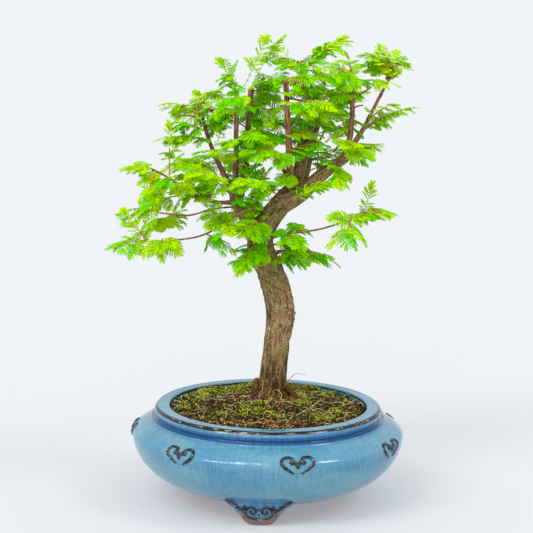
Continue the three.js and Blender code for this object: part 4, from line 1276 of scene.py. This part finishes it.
limb_courses = {"trunk": (trunk_centre[buried_stations:], trunk_radius[buried_stations:])}
for name in boughs:
    limb_courses[name] = bough_course(name, 60)
mass_stems, side_twigs, sprays = [], [], []
bearers = [mass[1:] for mass in masses] + sprigs
for k, (limb, share, far, spray_length) in enumerate(bearers):
    centre = limb_courses[limb][0]
    steps = np.linspace(0, 1, len(centre))
    foot = np.array([np.interp(share, steps, column) for column in centre.T])
    stem, twigs, grown = grow_mass(foot, pot_axis + np.array(far) * mm, spray_length * mm, 101 + 37 * k)
    mass_stems.append(stem)
    side_twigs += twigs
    sprays += grown


def needle_size(length):
    """How long the needles of a spray are: in proportion to it, within the kind's limits."""
    return np.clip(0.41 * length, 6.2 * mm, 11 * mm)


# Each spray bears up to two shorter side sprays at its root. All of them are then feathered
# with needles in two ranks, which stand wide at the root, close up to a round fan at the tip,
# and hang down towards their ends.
draw = np.random.default_rng(71)
root, direction, face, length = [np.array(part) for part in zip(*sprays)]
face = unit(face)
sideways = unit(np.cross(direction, face))
family = np.arange(len(root))
droop = np.full(len(root), spray_droop)
all_sprays = [(root, direction, face, length, family, droop, needle_size(length))]
for hand, start, angle in ((1, 0.02, 46), (-1, 0.05, 54)):
    turn = np.radians(angle + 12 * draw.normal(size=len(root)))[:, None]
    fall = 0.16 + 0.25 * draw.random((len(root), 1))
    way = unit(direction * np.cos(turn) + hand * sideways * np.sin(turn) - upwards * fall)
    size = length * (0.62 + 0.2 * draw.random(len(root))) * (draw.random(len(root)) < side_spray_share)
    foot = root + direction * (start * length)[:, None]
    tipped = unit(face + 0.25 * draw.normal(size=face.shape))
    all_sprays.append((foot, way, tipped, size, family, droop, needle_size(size)))
starts, ends, shoot_droop, shoot_needles = [np.array(part) for part in zip(*green_shoots)]
starts, ends = pot_axis + starts * mm, pot_axis + ends * mm
span = np.linalg.norm(ends - starts, axis=1)
course = ends - starts + upwards * (shoot_droop * span)[:, None]
shoot_way = unit(course)
shoot_length = np.linalg.norm(course, axis=1) / axis_part
shoot_face = unit(np.cross(np.cross(shoot_way, [0, -1.0, 0.4]), shoot_way))
shoot_family = len(sprays) + np.arange(len(green_shoots))
shoot_fall = shoot_droop * span / (axis_part * shoot_length)
shoot_needles = shoot_needles * mm
all_sprays.append((
    starts, shoot_way, shoot_face, shoot_length, shoot_family, shoot_fall, shoot_needles,
))
spray_parts = [np.concatenate(part) for part in zip(*all_sprays)]
root, direction, face, length, family, droop, needle_reach = spray_parts


def spray_lines(root, direction, length, droop, shares):
    """Places along the axes of sprays: straight from the root, falling with the square of the
    share. The axis is only a part of a spray's length, which its last needles complete."""
    fall = upwards * (droop * axis_part * length)[:, None, None] * (shares**2)[..., None]
    return root[:, None] + direction[:, None] * (axis_part * length[:, None] * shares)[..., None] - fall


limb_points = np.concatenate([course[0] for course in limb_courses.values()])
limb_radii = np.concatenate([course[1] for course in limb_courses.values()])
outer = spray_lines(root, direction, length, droop, np.broadcast_to([0.6, 1.0, 1.3], (len(root), 3)))
gap = np.linalg.norm(outer[:, :, None] - limb_points, axis=3) - limb_radii
clear = (gap.min(axis=(1, 2)) > 0.4 * mm) & (length > 1 * mm)
clear[-len(green_shoots) :] = True
root, direction, face, length, family, droop, needle_reach = [part[clear] for part in spray_parts]

needle_places = np.array([0.05, 0.16, 0.27, 0.38, 0.49, 0.6, 0.71, 0.82, 0.91, 0.97, 1])
needle_angles = np.array([80, 76, 72, 67, 62, 56, 49, 41, 31, 19, 6])
rank_size = len(needle_places)
shares = np.broadcast_to(needle_places, (len(root), rank_size))
points = spray_lines(root, direction, length, droop, shares)
tangent = unit(direction[:, None] - upwards * (2 * droop[:, None] * shares)[..., None])
sideways = unit(np.cross(tangent, face[:, None]))
normal = unit(np.cross(sideways, tangent))
on_shoot = (family >= len(sprays))[:, None]
spread = np.where(on_shoot, 0.66, 1.0)
reach = needle_reach[:, None] * (1 - 0.3 * (1 - shares) ** 3 - 0.14 * shares**4)
thinned = (draw.random(shares.shape) < 0.4) & (shares < 0.8)
reach = np.where(on_shoot, reach * (0.95 + 0.25 * shares) * np.where(thinned, 0.2, 1), reach)
needles = []
for hand in (1, -1):
    angle = np.radians(needle_angles * spread + 3 * draw.normal(size=shares.shape))[..., None]
    tilt = (np.where(on_shoot, 0.35, 0.06) * draw.normal(size=shares.shape) + 0.1)[..., None]
    way = unit(tangent * np.cos(angle) + hand * sideways * np.sin(angle) + normal * tilt)
    needles.append((points, way, tangent, normal, reach * (0.92 + 0.16 * draw.random(shares.shape))))
points, way, tangent, normal, size = [np.concatenate(part, axis=1) for part in zip(*needles)]
needle_shares = np.array([0, 0.3, 0.84, 1])
needle_taper = np.array([0, 0.85, 1, 0])
t = needle_shares[:, None]
hang = (0.2 + 0.14 * draw.random(size.shape))[..., None, None] * upwards
bow = (0.08 * tangent[:, :, None] - hang) * t**2
paths = points[:, :, None] + size[..., None, None] * (way[:, :, None] * t + bow)
across = unit(np.cross(way, normal))
through = np.cross(across, way)
lean_over = np.radians(24 * draw.normal(size=size.shape))[..., None]
flat_side = across * np.cos(lean_over) + through * np.sin(lean_over)
flat_lift = through * np.cos(lean_over) - across * np.sin(lean_over)
half_width = np.clip(0.086 * size, 0.7 * mm, 0.92 * mm) * np.where(on_shoot, 1.15, 1.0)

# Tints: dealt out by spray, from a random tone of each spray and painted light and shade: sprays that
# stand high or far out in the crown, where the light falls, get brighter tints, and inner, low ones
# darker.
needle_tints = [
    ("needles_lime", (180, 227, 0)), ("needles_fresh", (161, 223, 0)), ("needles_green", (138, 220, 0)),
    ("needles_deep", (108, 211, 0)),
]
needle_thickness = 0.18 * mm
middle = spray_lines(root, direction, length, droop, np.full((len(root), 1), 0.6))[:, 0]
height_share = smooth_share(middle[:, 2], 0.24, 0.42)
out_share = smooth_share(np.hypot(middle[:, 0] - pot_axis[0], middle[:, 1] - 10 * mm), 0.03, 0.12)
own = np.random.default_rng(72).normal(size=len(sprays) + len(green_shoots))[family]
own = np.where(family >= len(sprays), 1.5 + 0.5 * own, own)
# Painted light and shade: height and reach out weigh the tint towards bright, beside each spray's own
# random tone.
light_and_tone_order = 0.3 * height_share + 0.9 * out_share + 0.62 * own + 0.2 * draw.normal(size=len(root))
rank = np.argsort(np.argsort(-light_and_tone_order)) / len(root)
tint = np.digitize(rank, [0.3, 0.58, 0.82])
for k, (name, colour) in enumerate(needle_tints):
    chosen = tint == k
    count = chosen.sum() * 2 * rank_size
    widths = half_width[chosen].reshape(count, 1) * needle_taper
    sides, lifts = flat_side[chosen].reshape(count, 3), flat_lift[chosen].reshape(count, 3)
    body = strips(paths[chosen].reshape(count, 4, 3), sides, lifts, widths, needle_thickness)
    mesh_piece(name, *body, plain_finish(name, colour, 0.55, Specular_IOR_Level=0.0), "needles")


# Branchlets and twigs: the green axis of each spray, with rust-brown bud scales at its foot, and
# the thin stem of each mass, which is green while it is young and red-brown later.
def even_twigs(paths, first, last, corners):
    """Round twigs along paths, whose radius goes evenly from the first to the last."""
    radii = np.linspace(first, last, paths.shape[1]) * mm
    return round_strands(paths, np.broadcast_to(radii, paths.shape[:2]), corners)


axes = spray_lines(root, direction, length, droop, np.broadcast_to(np.linspace(0, 1, 8), (len(root), 8)))
branchlet_finish = plain_finish("green branchlet", (168, 206, 60), 0.55)
mesh_piece("green_branchlets", *even_twigs(axes, 0.42, 0.2, 4), branchlet_finish, "needles")

mass_stems = np.array(mass_stems)
bud_feet = np.concatenate([*mass_stems[:, [0, 2, 5]].transpose(1, 0, 2), root[::9]])
bud_feet = bud_feet + 0.9 * mm * draw.normal(size=bud_feet.shape)
buds = spikes(draw, bud_feet - [0, 0, 0.8 * mm], np.full(len(bud_feet), 2.2 * mm), 0.75 * mm, 1.6)
mesh_piece("bud_scales", *buds, plain_finish("rust-brown bud scale", (206, 118, 58), 0.6), "bark")

young = np.isin([mass[0] for mass in masses] + [""] * len(sprigs), young_stems)
young_finish = plain_finish("green young stem", (184, 196, 84), 0.55)
mesh_piece("green_stems", *even_twigs(mass_stems[young], 0.62, 0.42, 6), young_finish, "needles")
twig_ends = np.array(side_twigs)
twig_paths = twig_ends[:, :1] + (twig_ends[:, 1:] - twig_ends[:, :1]) * np.linspace(0, 1, 5)[:, None]
woody_body = joined([even_twigs(mass_stems[~young], 0.72, 0.5, 8), even_twigs(twig_paths, 0.6, 0.6, 6)])
woody_finish = plain_finish("young red-brown bark", (196, 112, 64), 0.6)
twigs_piece = mesh_piece("woody_twigs", *woody_body, woody_finish, "bark")
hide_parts(*[f"foliage_{mass[0]}" for mass in masses])
